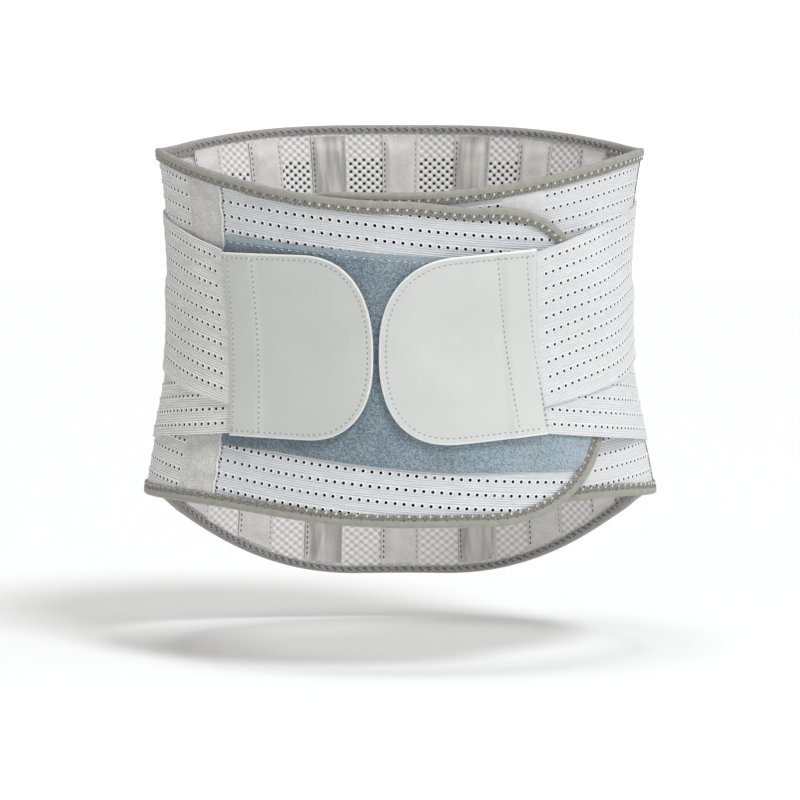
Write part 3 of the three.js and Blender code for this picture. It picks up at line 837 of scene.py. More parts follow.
def edge_tape(cloth, s, z, inner, outer, look, rows_of, pitch, from_row=0.0, inner_leaf=None):
    """Folded tape along an edge, with the cloth on the left of the way the line runs. look gives
    the material at s, and rows_of the rows of stitches of each leaf."""
    total = lengths(s, z)[-1]
    at = np.linspace(0, total, int(total / 1.1) + 2)
    ps, pz, ds, dz = line_along(s, z, at, 1.5)
    ns, nz = -dz, ds
    i, e = inner(ps) - GAP / 2, outer(ps) + GAP / 2
    middle, radius = (i + e) / 2, (e - i) / 2 + TAPE
    centre = radius - FOLD
    leaf_width = {1: BINDING_WIDTH, -1: inner_leaf or BINDING_WIDTH}
    face_of = {1: e + TAPE, -1: i - TAPE}
    phase = at / pitch + from_row
    pull = 0.5 + 0.5 * np.cos(2 * np.pi * phase)  # 1 at each stitch
    ragged = 0.35 * np.abs(np.mod(phase * 2, 1) - 0.5) + 0.25 * uneven(at / 6, at * 0, 3)
    soft = 0.25 * uneven(at / 9, at * 0, 7)
    leaves = {}
    for side, w in leaf_width.items():
        # distance from the fold, how much lower the leaf lies there, and how deep stitches pull it
        zone = [(w + ragged, 0.3, 0), (w - 0.7 + ragged * 0.6, 0.0, 0), (w * 0.72, 0.05, 0.35),
                (w * 0.6, 0.05, 1), (w * 0.46, 0.0, 0.6), (w * 0.28, 0.0, 0), (centre + 0.2, 0.0, 0)]
        leaves[side] = [(face_of[side] - side * (drop + 0.3 * pull * dent) + side * soft * 0.6, q)
                        for q, drop, dent in zone]
    bend = [(middle - radius * math.cos(turn), centre - radius * math.sin(turn))
            for turn in np.radians([25, 55, 90, 125, 155])]
    inside = [(e + 0.05, leaf_width[1] - 0.2), (e, 0.3), (i, 0.3), (i - 0.05, leaf_width[-1] - 0.2)]
    profile = leaves[-1] + bend + leaves[1][::-1] + inside
    size, rows = len(profile), len(at)
    o = np.stack([np.broadcast_to(p[0], at.shape) for p in profile], 1)
    q = np.stack([np.broadcast_to(p[1], at.shape) for p in profile], 1)
    faces = []
    for r in range(rows - 1):
        for k in range(size):
            a, b = r * size + k, r * size + (k + 1) % size
            faces.append((a, b, b + size, a + size))
    looks = [look(ps[f[0] // size]) for f in faces]
    ends = tuple(range(size))[::-1], tuple((rows - 1) * size + k for k in range(size))
    faces += ends
    looks += [looks[0]] * 2
    uv = np.stack([np.repeat(at, size).reshape(rows, size), q + 0 * o], -1).reshape(-1, 2) * MM
    cloth.add(ps[:, None] + ns[:, None] * q, pz[:, None] + nz[:, None] * q, o, faces, looks, uv)
    for side in (-1, 1):
        for share, shift, turn, length, width, height, sink, name in rows_of:
            at_row = (np.arange(int(total / pitch) + 2) - from_row % 1 + shift) * pitch
            at_row = at_row[(at_row > 0.5) & (at_row < total - 0.5)]
            pick = lambda v: np.interp(at_row, at, v)
            direction = np.array([pick(ds), pick(dz)])
            q = leaf_width[side] * (share(pick(pz)) if callable(share) else share)
            ss, zz = pick(ps) + pick(ns) * q, pick(pz) + pick(nz) * q
            face = pick(face_of[side]) - side * sink
            names = np.array([name(v) if callable(name) else name for v in ss])
            for one in sorted(set(names)):
                mine = names == one
                stitches(cloth, ss[mine], zz[mine], face[mine], direction[:, mine], length, width,
                         side * height, str(one), turn)


def front_light_share(z):
    return lerp(0.86, 0.62, smooth(z, 90, 190))


def front_light_thread(s):
    return "light_thread" if s > -48 else "olive_thread"


# Rows of stitches of a binding: share of the leaf's width, or that share at z; shift along it in
# stitches; turn in degrees; length, width and height in mm; how deep they lie; the thread, or
# the thread at s.
# In both, the dark_thread rows are dark dots for the dimples of the stitching: painted shade.
FRONT_ROWS = (
    (front_light_share, 0.0, 68, 1.9, 1.15, 0.42, 0.1, front_light_thread),
    (0.5, 0.5, 90, 1.7, 1.25, 0.24, 0.12, "dark_thread"),
    (0.9, 0.25, 40, 2.0, 0.45, 0.22, 0.0, "olive_thread"),
    (0.9, 0.75, -40, 2.0, 0.45, 0.22, 0.0, "olive_thread"),
)
BACK_ROWS = (
    (0.62, 0.0, 90, 1.2, 1.4, 0.26, 0.1, "dark_thread"),
    (0.62, 0.5, 62, 1.7, 0.7, 0.3, 0.04, "olive_thread"),
    (0.34, 0.25, 60, 1.9, 0.7, 0.3, 0.0, "olive_thread"),
    (0.34, 0.75, 90, 1.2, 1.0, 0.22, 0.1, "dark_thread"),
    (0.92, 0.25, 62, 1.8, 0.6, 0.3, 0.0, "olive_thread"),
)
FRONT_STITCH, BACK_STITCH = 5.1, 4.4  # from stitch to stitch of a row
BINDING_CHANGE = arc_of(93)  # beyond this a binding is the dark one of the back


# ---------------------------------------------------------------- pieces


def finish_piece(cloth, slot, replaces, body=None, blend=None, sheet=None):
    """Makes the object and hides the parts it replaces. With a blend its transform is baked in,
    otherwise it is attached to its body. blend is the two bodies, the ends of the bend as s,
    their heights and their offset; sheet is how the sheet is held, its ends as s, and its low
    and high edge."""
    piece = cloth.object()
    if replaces:
        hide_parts(*replaces)
    if sheet:
        held, s0, s1, low, high = sheet
        s = np.linspace(s0, s1, 60)
        tall = high(s) - low(s)
    if blend:
        a, b, from_s, to_s, from_z, to_z, o = blend
        start, end = (tuple(place(s, z, o) * MM) for s, z in ((from_s, from_z), (to_s, to_z)))
        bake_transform(piece)
        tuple(start)
        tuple(end)
    else:
        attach(piece, body)


BEND_Z = 165  # height at which the ends of a bend are given
LEFT_BEND = REAR - 34  # where the left side's bend at the rear seam ends
ROOT_BEND = REAR - PULL_ROOT  # where the right straps' second bend begins
RIGHT_END = {"out": -1, "mid": 138, "round": 45, "tip": 119, "power": 2}
LEFT_END = {"out": 1, "mid": 145, "round": -38, "tip": -62, "power": 2.6}
# a holed elastic: its lip is lighter, a painted highlight; its hole walls and pits are dark, painted
# shade
ELASTIC_LOOK = {"cloth": "elastic", "lip": "lip", "wall": "hole_wall", "pit": "hole"}
FRONT_LOOK = {**ELASTIC_LOOK, "cloth": "front_elastic"}
SIDES = {
    "right": {
        "out": -1, "base": lift, "end": RIGHT_END, "webbing": RIGHT_WEBBING,
        "webbing_look": "webbing", "look": ELASTIC_LOOK, "radius": 0.98, "dark": 0.75,
        "strap_fade": 130, "bend": ("back", "right_front", -REAR, -ROOT_BEND, BEND_Z, BEND_Z, 2),
    },
    "left": {
        "out": 1, "base": level(0), "end": LEFT_END, "webbing": LEFT_WEBBING,
        "webbing_look": "hatched_webbing", "look": {**ELASTIC_LOOK, "cloth": "pale_elastic"},
        "radius": 0.86, "dark": 0.4,
        "strap_fade": 105, "bend": ("back", "left_front", REAR, LEFT_BEND, BEND_Z, BEND_Z, 2),
    },
}
SIDE_PITCH, FRONT_PITCH, STRAP_PITCH = 4.8, 5.1, 4.75
SIDE_RISE, FRONT_RISE = 8.5, 8.1
SIDE_ROWS, FRONT_ROW_COUNT, UNDER_ROWS = 21, 18, 23  # pitches from the first row to the last
STRAP_ROW, STRAP_FIRST = 8.3, 5.5  # between rows, and from the top edge to the first row
WEBBING_ROWS_FROM = 70.0  # lowest stitch of a webbing band
SEAM_LAP = 0.6  # how far cloth runs under the edge of a webbing band


def round_share(s, end):
    u = np.clip((s - end["round"]) / (end["tip"] - end["round"]), 0, 1)
    return (1 - u ** end["power"]) ** (1 / end["power"])


def rounded_rows(start, end, step=2.5, corners=40):
    turn = np.radians(np.linspace(0, 89.2, corners))
    bend = lerp(end["round"], end["tip"], np.sin(turn))
    return np.concatenate([spans(start, end["round"], step)[:-1], bend])


def front_edges(end):
    edge = lambda straight: lambda s: lerp(end["mid"], straight(s), round_share(s, end))
    return edge(cloth_bottom(end["out"])), edge(cloth_top(end["out"]))


def webbing_edges(side):
    return [arc_of(v) for v in SIDES[side]["webbing"]]


def dark_holes(share, fade_from=1e3):
    """Which holes get the near-black bottom of painted shade: a share of them, fewer beyond a
    distance round. The rest get the paler painted shade."""
    def dark(s, z):
        chance = share - np.maximum(0, np.abs(s) - fade_from) / 60
        return value_noise(s / 7, z / 6, 12) < chance

    return "pale_hole", dark


def side_elastic(side):
    own = SIDES[side]
    out, base = own["out"], own["base"]
    near = webbing_edges(side)[max(out, 0)] - out * SEAM_LAP
    far = out * (REAR + 5)
    tuck = lambda s: smooth(np.abs(s), REAR - 5, REAR)  # between the two layers of the back
    low, high = cloth_bottom(out), cloth_top(out)
    first = lambda s: bottom_edge(out)(s) + 7.6 + 7 * smooth(np.abs(s), 100, 175)
    height = lambda s, y: lerp(first(s), top_edge(out)(s) - 11.4, (y - 0.5) / SIDE_ROWS)
    cloth = Cloth(side + "_side_elastic_cloth")
    holed_sheet(cloth, cells_in(far - near, SIDE_PITCH), (-3, SIDE_ROWS + 3),
                paced(near, out, SIDE_PITCH, 2, height), low, high,
                lambda s, z: base(s) + 1.25 * tuck(s),
                lambda s, z: base(s) + ELASTIC - 0.05 * tuck(s),
                own["look"], SIDE_PITCH, SIDE_RISE, (min(near, far), max(near, far)),
                bare=lambda s, z: np.abs(s) > REAR - 7, radius=own["radius"],
                paler=dark_holes(own["dark"]))
    finish_piece(cloth, "elastic", [side + "_side_elastic"], blend=own["bend"],
                 sheet=("stretched", near, far, low, high))


def front_panel(side, near, rows, o, height, paler=None):
    own = SIDES[side]
    base, tip = own["base"], own["end"]["tip"]
    low, high = front_edges(own["end"])
    ends = min(near, tip), max(near, tip)
    cloth = Cloth(side + "_front_panel_cloth")
    holed_sheet(cloth, cells_in(tip - near, FRONT_PITCH), rows,
                paced(near, -own["out"], FRONT_PITCH, o, height), low, high, base,
                lambda s, z: base(s) + ELASTIC, FRONT_LOOK, FRONT_PITCH, FRONT_RISE, ends,
                paler=paler)
    finish_piece(cloth, "front_elastic", [side + "_front_panel"], body=side + "_front",
                 sheet=("stretched", *ends, low, high))


def right_front_panel():
    first = lambda s: 76.1 - 0.107 * s + 0.0004 * s * s
    last = lambda s: 221.6 - 0.115 * s + 0.00045 * s * s
    height = lambda s, y: lerp(first(s), last(s), (y - 0.5) / FRONT_ROW_COUNT)
    front_panel("right", webbing_edges("right")[1] - SEAM_LAP, (-4, FRONT_ROW_COUNT + 5), 6, height,
                dark_holes(0.86))


def left_front_panel():
    height = lambda s, y: lerp(bottom_edge(1)(s), top_edge(1)(s), y / UNDER_ROWS)
    front_panel("left", webbing_edges("left")[0] + SEAM_LAP, (0, UNDER_ROWS), 1, height)


def side_webbing(side):
    own = SIDES[side]
    a, b = webbing_edges(side)
    base, out = own["base"], own["out"]
    low, high = cloth_bottom(out), cloth_top(out)
    s, z, faces = field(spans(a, b, 1.6), 90, low, high)
    roll = 0.35 * smooth(np.minimum(s - a, b - s), 0, 1.6)
    swell = 0.12 * uneven(s / 6, z / 14, 5)
    cloth = Cloth(side + "_side_webbing_band")
    shell(cloth, s, z, base(s) + ELASTIC - 0.05 + roll + swell, base(s) - 0.25 - roll * 0.3, faces,
          own["webbing_look"])
    top = lambda s, z: base(s) + ELASTIC + 0.12
    for at in (a + 1.5, b - 1.5):
        ends = WEBBING_ROWS_FROM, float(high(at)) - 5
        seam_row(cloth, at, ends, top, 2.6, 1.7, 0.5, 0.14, "light_thread")
    if side == "right":
        rows = spans(66, float(high(b)) - 5, 1.6)
        cord = b - 0.1 + 0.35 * np.sin(rows / 2.1) + 0.3 * uneven(rows / 7, rows * 0, 8)
        rope(cloth, cord, rows, lambda s, z: base(s) + ELASTIC + 0.4, 0.62, "light_thread")
        seam_row(cloth, cord + 1.1, rows, top, 2.7, 1.5, 0.8, 0.2, "dark_thread")
    finish_piece(cloth, "webbing", [side + "_side_webbing"], body=side + "_front",
                 sheet=("stretched", a, b, low, high))


SPLIT = 122  # s where a front binding is parted, clear of the bend at the rear seam


def front_bindings(side):
    """The bound edge of a side, from the rear seam round its front end and back."""
    own = SIDES[side]
    base, end, way = own["base"], own["end"], -own["out"]  # s grows with way, rear to tip
    thicker = lambda s: (BACK_OUTER - ELASTIC) * smooth(np.abs(s), REAR - 14, REAR - 1)
    outer = lambda s: base(s) + ELASTIC + thicker(s)
    look = lambda s: "dark_binding" if abs(s) > BINDING_CHANGE else "binding"
    first, second = front_edges(end)[::way]
    along = rounded_rows(-way * REAR, end)
    s = np.concatenate([along, [end["tip"]], along[::-1]])
    z = np.concatenate([first(along), [end["mid"]], second(along[::-1])])
    t = lengths(s, z)
    tip = len(along)
    cuts = (0, np.interp(-SPLIT, s[: tip + 1] * way, t[: tip + 1]),
            np.interp(-SPLIT, (s[tip:] * way)[::-1], t[tip:][::-1]), t[-1])
    clothes = {"side": Cloth(side + "_side_binding_tape"), "front": Cloth(side + "_front_binding_tape")}
    for part, a, b in (("side", *cuts[:2]), ("side", *cuts[2:]), ("front", *cuts[1:3])):
        u = np.concatenate([[a], t[(t > a + 1e-6) & (t < b - 1e-6)], [b]])
        edge_tape(clothes[part], np.interp(u, t, s), np.interp(u, t, z), base, outer, look,
                  FRONT_ROWS, FRONT_STITCH, a / FRONT_STITCH)
    finish_piece(clothes["side"], "binding", [], blend=own["bend"])
    finish_piece(clothes["front"], "binding", [side + "_front_binding"], body=side + "_front")


def loop_pad():
    start = webbing_edges("right")[1] + 1.5
    inset = BINDING_WIDTH + 0.8
    end = {**RIGHT_END, "tip": RIGHT_END["tip"] - inset}
    rounded = lambda s, nominal: lerp(end["mid"], nominal, round_share(s, end))
    low = lambda s: np.maximum(pad_bottom(s), rounded(s, bottom_edge(-1)(s) + inset))
    high = lambda s: np.minimum(pad_top(s), rounded(s, top_edge(-1)(s) - inset))
    s, z, faces = field(rounded_rows(start, end, 1.4, 44), 84, low, high)
    lumps = value_noise(s / 2.1, z / 2.1, 2) * 0.5 + value_noise(s / 1.1, z / 1.1, 4) * 0.35
    edge = np.minimum(np.minimum(z - low(s), high(s) - z), s - start)
    flat = smooth(high(s) - z, 2.6, 3.4)  # 0 on the smooth strip along the top
    height = PAD + 0.25 + (LOOP - 0.55) * smooth(edge, -0.6, 1.4) + lumps * 0.75 * flat
    height -= 0.35 * (1 - flat)
    cloth = Cloth("brushed_loop_pad")
    below_top = high(s).ravel()[[f[0] for f in faces]] - z.ravel()[np.array(faces)].mean(1)
    look = ["loop_edge" if m < 3.0 else "loop" for m in below_top]
    shell(cloth, s, z, height, PAD - 0.3, faces, look, edge="loop_edge")
    line = spans(start + 2, end["round"] + 50, 2.0)
    seam_row(cloth, line, high(line) - 3.7, level(PAD + 1.25), 4.5, 2.2, 0.55, 0.3, "light_thread")
    finish_piece(cloth, "loop", ["loop_pad"], body="right_front",
                 sheet=("laid", start, end["tip"], low, high))


# Each strap's lower and upper edge: z at the tab, how far it moves towards the rear, and how
# quickly. Each tab: the seam, its lean, its middle's z at the seam and at the rounding, half its
# height, its rounded end, and its style.
STRAPS = {
    "right": {"upper": ((122, 30, 1), (209.5, 27.5, 1.5)), "lower": ((106, -13, 1), (192, -13, 1))},
    "left": {"upper": ((121, 36, 1), (208, 35, 1.5)), "lower": ((106, -15, 1), (192, -15, 1))},
}
TABS = {
    "right": {
        "seam": arc_of(-41.4), "lean": -0.096, "mid": (156.5, 155), "half": 51.8,
        "end": {"round": -51, "tip": -13.8, "power": 2.4, "mid": 148},
        "look": "coated", "inset": 3.0, "lines": (3.0, 17.5), "slant": 0.075, "tilt": 1.25,
        # the right tab's stitching alternates dark and light dashes: painted shade and painted
        # highlight of the stitches
        "threads": ((0.5, 1.8, 1.15, "tab_thread"), (1.0, 0.95, 0.8, "light_thread")),
    },
    "left": {
        "seam": arc_of(32.3), "lean": -0.03, "mid": (158, 153.5), "half": 52.2,
        "end": {"round": 31, "tip": -11, "power": 2.4, "mid": 153},
        "look": "coated_light", "inset": 3.7, "lines": (2.5, 18.0), "slant": -0.095, "tilt": -0.4,
        "threads": ((0.5, 1.6, 1.1, "grey_thread"),),
    },
}
STRAP_LIFT = 1.95  # from the skin side of the elastic to the lower strap on it
TAB_STITCH = 2.95
TAB_HIGHLIGHT_WIDTH = 0.95  # width of the band along a tab's edge that is coloured lighter, a painted highlight
DOUBLED = 17.5  # how far a tab lies double, from its seam
DOUBLE_RISE = 1.25


def pull_strap(side, strap, part):
    own, tab = SIDES[side], TABS[side]
    out, seam = own["out"], abs(tab["seam"])
    length = REAR - 6 - seam
    back = lambda s: np.clip((np.abs(s) - seam) / length, 0, None)
    edge = lambda e: lambda s: e[0] + e[1] * (1 - np.maximum(0, 1 - back(s)) ** e[2])
    low_from, high_from = STRAPS[side][strap]
    low, high = edge(low_from), edge(high_from)
    lean = lambda s: tab["lean"] * (1 - smooth(back(s), 0, 0.4))
    upper = strap == "upper"
    beneath = edge(STRAPS[side]["lower"][1])
    at_tab = OVER_PAD + (1.75 if upper else 0.0)
    flat = lambda s: smooth(np.abs(s), REAR - 9, REAR + 0.5)  # 1 under the anchor tape

    def inner(s, z):
        if side == "left":
            free = lerp(OVER_PAD, STRAP_LIFT, smooth(s - front_reach(z), -4, 50))
        else:
            free = lift(s) + STRAP_LIFT + (LOOP + GAP) * smooth(s, arc_of(-68), arc_of(-50))
        if upper:
            free = free + 1.8 * (1 - smooth(z - beneath(s), 1, 15))
        free = lerp(at_tab, free, smooth(back(s) * length, 0, 10))
        return lerp(free, BACK_OUTER + (0.45 if upper else 0.08), flat(s))

    outer = lambda s, z: inner(s, z) + lerp(1.65, 0.3, flat(s))
    near, far = seam + 0.5, REAR + 8
    if side == "right":
        near, far = (ROOT_BEND, far) if part else (near, ROOT_BEND)
    from_s = near - (0 if part else 1.1)
    height = lambda s, y: high(s) - STRAP_FIRST + (y + 0.5) * STRAP_ROW
    name = f"{side}_{strap}_strap{part}"
    cloth = Cloth(name + "_elastic")
    rows = int(math.ceil((high_from[0] - low_from[0] + 10) / STRAP_ROW))
    holed_sheet(cloth, cells_in(far - near, STRAP_PITCH), (-rows, 1),
                paced(out * from_s, out, STRAP_PITCH, 10, height), low, high, inner, outer,
                own["look"], STRAP_PITCH, STRAP_ROW, tuple(sorted((out * near, out * far))),
                radius=own["radius"], paler=dark_holes(0.9, own["strap_fade"]),
                bare=lambda s, z: np.abs(s) > REAR - 3, lean=lean, keep=2.4)
    if side == "left":
        blend = ("back", "left_pull", REAR, LEFT_BEND, BEND_Z, BEND_Z, 2)
    elif part:
        blend = own["bend"]
    else:
        blend = ("right_front", "right_pull", -ROOT_BEND, -(ROOT_BEND - 30), BEND_Z, BEND_Z, 8)
    finish_piece(cloth, "elastic", [name], blend=blend,
                 sheet=("stretched", out * near, out * far, low, high))


def front_reach(z):
    """s of the right front's rounded end at a height."""
    middle = RIGHT_END["mid"]
    tall = np.where(z > middle, RIGHT_TOP - END_DIP - middle, middle - RIGHT_BOTTOM)
    u = np.clip((z - middle) / tall, -1, 1)
    return lerp(RIGHT_END["round"], RIGHT_END["tip"], np.sqrt(1 - u * u))


def tab_shape(side, margin=0.0):
    """Rounded end, low and high edge and lean of a tab, or of a patch inside it by a margin."""
    tab = TABS[side]
    end, start, half = dict(tab["end"]), tab["seam"], tab["half"]
    end["tip"] += SIDES[side]["out"] * margin
    middle = lambda s: lerp(*tab["mid"], (s - start) / (end["round"] - start))
    edge = lambda reach: lambda s: lerp(end["mid"], middle(s) + reach, round_share(s, end))
    lean = lambda s: tab["lean"] * (1 - (s - start) / (end["tip"] - start))
    return end, edge(margin - half), edge(half - margin), lean


def edge_shares(tall, near, inside):
    """Shares of a height whose ends are divided at the distances listed in near."""
    ends = np.array(near) / tall
    return np.concatenate([ends, np.linspace(ends[-1], 1 - ends[-1], inside)[1:-1], (1 - ends)[::-1]])


def distance_to(line_s, line_z, s, z):
    """Distance of each point to a polyline."""
    a = np.stack([line_s, line_z], -1)
    p = np.stack([s.ravel(), z.ravel()], -1)
    d = a[1:] - a[:-1]
    length = np.maximum((d * d).sum(-1), 1e-9)
    t = np.clip(((p[:, None] - a[None, :-1]) * d).sum(-1) / length, 0, 1)
    q = a[None, :-1] + t[..., None] * d
    return np.sqrt(((p[:, None] - q) ** 2).sum(-1)).min(1).reshape(s.shape)


def offset_line(s, z, by):
    """A line moved to its left by a distance."""
    total = lengths(s, z)[-1]
    ps, pz, ds, dz = line_along(s, z, np.linspace(0, total, int(total / 1.5)), 1)
    return ps - dz * by, pz + ds * by


def pull_tab(side):
    tab = TABS[side]
    end, low, high, lean = tab_shape(side)
    out, start, inset = SIDES[side]["out"], tab["seam"], tab["inset"]
    across = out * tab["slant"]
    rows = rounded_rows(start, end, 1.6, 60)
    shares = edge_shares(2 * tab["half"], [0, 0.25, 0.6, 1.1, 1.8, 2.5, 3.1, 3.8, 5], 22)
    s, z, faces = field(rows, shares, low, high)
    leaned = s + lean(s) * (z - TAB_MIDDLE)
    span = np.concatenate([rows, rows[::-1]])
    rim_z = np.concatenate([low(rows), high(rows[::-1])])
    rim_s = span + lean(span) * (rim_z - TAB_MIDDLE)
    base = OVER_PAD + HOOK + GAP

    def level_at(to_rim, from_seam, s, z):
        doubled = 1 - smooth(from_seam, DOUBLED - 1.5, DOUBLED + 3)
        crown = 0.35 * smooth(to_rim, 3, 16) + 0.25 * uneven(s / 26, z / 30, 9)
        return base + COATED + DOUBLE_RISE * doubled + crown * (1 - 0.5 * doubled)

    def surface(s, z):
        from_seam = np.abs(s - lean(s) * (z - TAB_MIDDLE) - start)
        return level_at(distance_to(rim_s, rim_z, s, z), from_seam, s, z) - 0.16

    to_rim = distance_to(rim_s, rim_z, leaned, z)
    from_seam = np.abs(s - start)
    to_end = np.minimum(to_rim, from_seam)
    round_off = 0.85 * (1 - np.sqrt(1 - np.clip(1 - to_end / 1.3, 0, 1) ** 2))
    lines = [start - out * d for d in tab["lines"]]
    groove = 0.16 * bell(to_rim - inset, 0.7)
    for at in lines:
        groove += 0.16 * bell(leaned - at - across * (z - TAB_MIDDLE), 0.7)
    outer = level_at(to_rim, from_seam, s, z) - round_off - groove
    cloth = Cloth(side + "_pull_tab_cover")
    rim = to_rim.ravel()
    # faces near the edge get the lighter rim look: a painted highlight
    looks = [tab["look"] + ("_rim" if rim[list(f)].mean() < TAB_HIGHLIGHT_WIDTH else "") for f in faces]
    shell(cloth, leaned, z, outer, base + round_off * 0.4, faces, looks)
    line_s, line_z = offset_line(rim_s, rim_z, -out * inset)
    inside = np.abs(line_s - start) > 1.5
    ends = np.array([low(start) + inset, high(start) - inset], float)
    for phase, length, width, name in tab["threads"]:
        stitch = (surface, TAB_STITCH, length, width, 0.34, name)
        seam_row(cloth, line_s[inside], line_z[inside], *stitch, start=phase)
        for at in lines:
            seam_row(cloth, at + across * (ends - TAB_MIDDLE), ends, *stitch, start=phase)
    bend = (side + "_pull", side + "_tab", start, start - out * 13, TAB_MIDDLE,
            TAB_MIDDLE + tab["tilt"], base + 3)
    finish_piece(cloth, "coated", [side + "_pull_tab"], blend=bend,
                 sheet=("laid", start, end["tip"] + out * 0.5, low, high))


def tab_hook(side):
    end, low, high, lean = tab_shape(side, margin=5)
    rows = rounded_rows(TABS[side]["seam"] - SIDES[side]["out"] * 8, end, 2.5, 24)
    s, z, faces = field(rows, 30, low, high)
    cloth = Cloth(side + "_tab_hook_patch")
    shell(cloth, s + lean(s) * (z - TAB_MIDDLE), z, OVER_PAD + HOOK, OVER_PAD + 0.1, faces, "hook")
    finish_piece(cloth, "hook", [side + "_tab_hook"], body=side + "_tab")


# ---------------------------------------------------------------- back

BACK_FROM, BACK_TO = REAR + 0.2, 2 * HALF_ROUND - REAR - 0.2
BACK_EDGES = cloth_bottom(1), cloth_top(1)
TUNNEL_HALF = 10.5
SIDE_TUNNEL_HALF = 9.5
CHANNEL_MIDDLES = [HALF_ROUND + np.sign(d) * (HALF_ROUND - arc_of(180 - abs(d))) for d in CHANNELS]


def from_channel(s):
    return np.min([np.abs(s - m) for m in CHANNEL_MIDDLES], axis=0)


def back_cover():
    s, z, faces = field(spans(BACK_FROM, BACK_TO, 2.0), 116, *BACK_EDGES)
    beside = from_channel(s)
    groove = bell(beside - TUNNEL_HALF + 1.2, 1.1)
    puff = smooth(TUNNEL_HALF - beside, 1.5, 7)
    outer = BACK_OUTER - 0.35 * groove + 0.5 * puff + 0.16 * uneven(s / 5, z / 11, 1)
    under_anchor = smooth(np.minimum(s - BACK_FROM, BACK_TO - s), 10, 16)
    outer = lerp(BACK_OUTER - 0.1, outer, under_anchor)
    cloth = Cloth("back_cover")
    shell(cloth, s, z, outer, LINING + GAP, faces, "back_fabric")
    for middle in CHANNEL_MIDDLES:
        for side in (-1, 1):
            at = middle + side * (TUNNEL_HALF - 1.2)
            ends = float(cloth_bottom(1)(at)) + 8, float(cloth_top(1)(at)) - 8
            seam_row(cloth, at, ends, level(BACK_OUTER - 0.18), 3.4, 2.3, 0.7, 0.3, "grey_thread")
    finish_piece(cloth, "back_fabric", ["back_outer_panel"], body="back",
                 sheet=("stretched", BACK_FROM, BACK_TO, *BACK_EDGES))


def back_lining():
    columns = int((BACK_TO - BACK_FROM) / MESH_ACROSS) + 1
    where = lambda x, y: (BACK_FROM + x * MESH_ACROSS, y * MESH_RISE + 0.6)

    def see_through(s, z):
        """Where the holes get a near-black bottom, painted shade as of looking through the mesh.
        Elsewhere the cloth behind closes them to dimples.
        """
        middle = np.abs(s - HALF_ROUND)
        below_top = z < top_edge(1)(s) - 21 - 3.5 * smooth(middle, 40, 110)
        return below_top & (z > bottom_edge(1)(s) + 62) & (middle < 115)

    cloth = Cloth("back_mesh_lining_cloth")
    holed_sheet(cloth, columns, (-1, int(BACK_TOP / MESH_RISE) + 1), where, *BACK_EDGES, level(0),
                level(LINING), {"cloth": "mesh", "wall": "mesh", "pit": "mesh_hole"}, MESH_ACROSS,
                MESH_RISE, (BACK_FROM, BACK_TO), radius=1.1, depth=0.55, ribbed=False, keep=3.0,
                bare=lambda s, z: from_channel(s) < TUNNEL_HALF + 0.3,
                paler=("mesh_dimple", see_through))
    finish_piece(cloth, "mesh", ["back_mesh_lining"], body="back",
                 sheet=("stretched", BACK_FROM, BACK_TO, *BACK_EDGES))


def tape_tunnel(cloth, middle, half, look, base, crease, seed, out=1):
    """Tape over a stay, on the skin side: arched in the middle, and flat where it is sewn."""
    low, high = cloth_bottom(out, 7.0), cloth_top(out, 7.0)
    across = np.array([0, 0.4, 1.2, 2.2, 3.2, 4.2, 5.4, 7, 8.6]) / (2 * half)
    shares = np.concatenate([across, [0.5], 1 - across[::-1]])
    s, z, faces = field(middle - half + shares * 2 * half, 110, low, high)
    d = np.abs(s - middle)
    below_top = high(s) - z
    ends = np.minimum(z - low(s), below_top)
    arch = 2.0 * (1 - smooth(d, half - 4.6, half - 1.6)) * smooth(ends, 2.5, 9.5)
    folds = uneven(s / 3.6, z / 26, seed) * crease
    folds = folds + bell(below_top - 9, 9) * uneven(s / 2.4, z / 5, seed + 50) * 1.6
    folds = folds * (1 - smooth(d, half - 4, half - 1)) * smooth(ends, 0, 4)
    skin = base - 0.75 - arch - np.maximum(folds, -0.3) + 0.25 * bell(d - half + 1.4, 0.6)
    shell(cloth, s, z, skin + 0.6, skin, faces, look)
    for side, length, width, name in ((-1, 2.1, 0.6, "grey_thread"), (1, 2.0, 0.75, "dark_thread")):
        at = middle + side * (half - 1.4)
        zz = np.array([float(low(at)) + 2, float(high(at)) - 2])
        seam_row(cloth, at, zz, level(base - 0.62), 3.4, length, width, -0.3, name)
    line = np.linspace(zz[0] - 1, zz[1] + 1, 60)
    rope(cloth, np.full(60, at + 1.25), line, level(base - 0.35), 0.33, "seam")


def back_tunnels():
    for number, (degrees, middle) in enumerate(zip(CHANNELS, CHANNEL_MIDDLES), 1):
        look, crease = ("satin", 3.0) if abs(degrees) == STEEL_CHANNEL else ("tape", 1.0)
        cloth = Cloth(f"stay_channel_{number}_tape")
        tape_tunnel(cloth, middle, TUNNEL_HALF, look, 0.0, crease, number)
        finish_piece(cloth, look, [f"stay_channel_{number}"], body="back")


def side_tunnel(side):
    """The sleeve behind a side webbing band that holds its stay."""
    own = SIDES[side]
    middle = sum(webbing_edges(side)) / 2
    cloth = Cloth(side + "_side_stay_sleeve")
    tape_tunnel(cloth, middle, SIDE_TUNNEL_HALF, "tape", float(own["base"](middle)) - 0.2, 0.6, 20,
                own["out"])
    finish_piece(cloth, "tape", [], body=side + "_front")


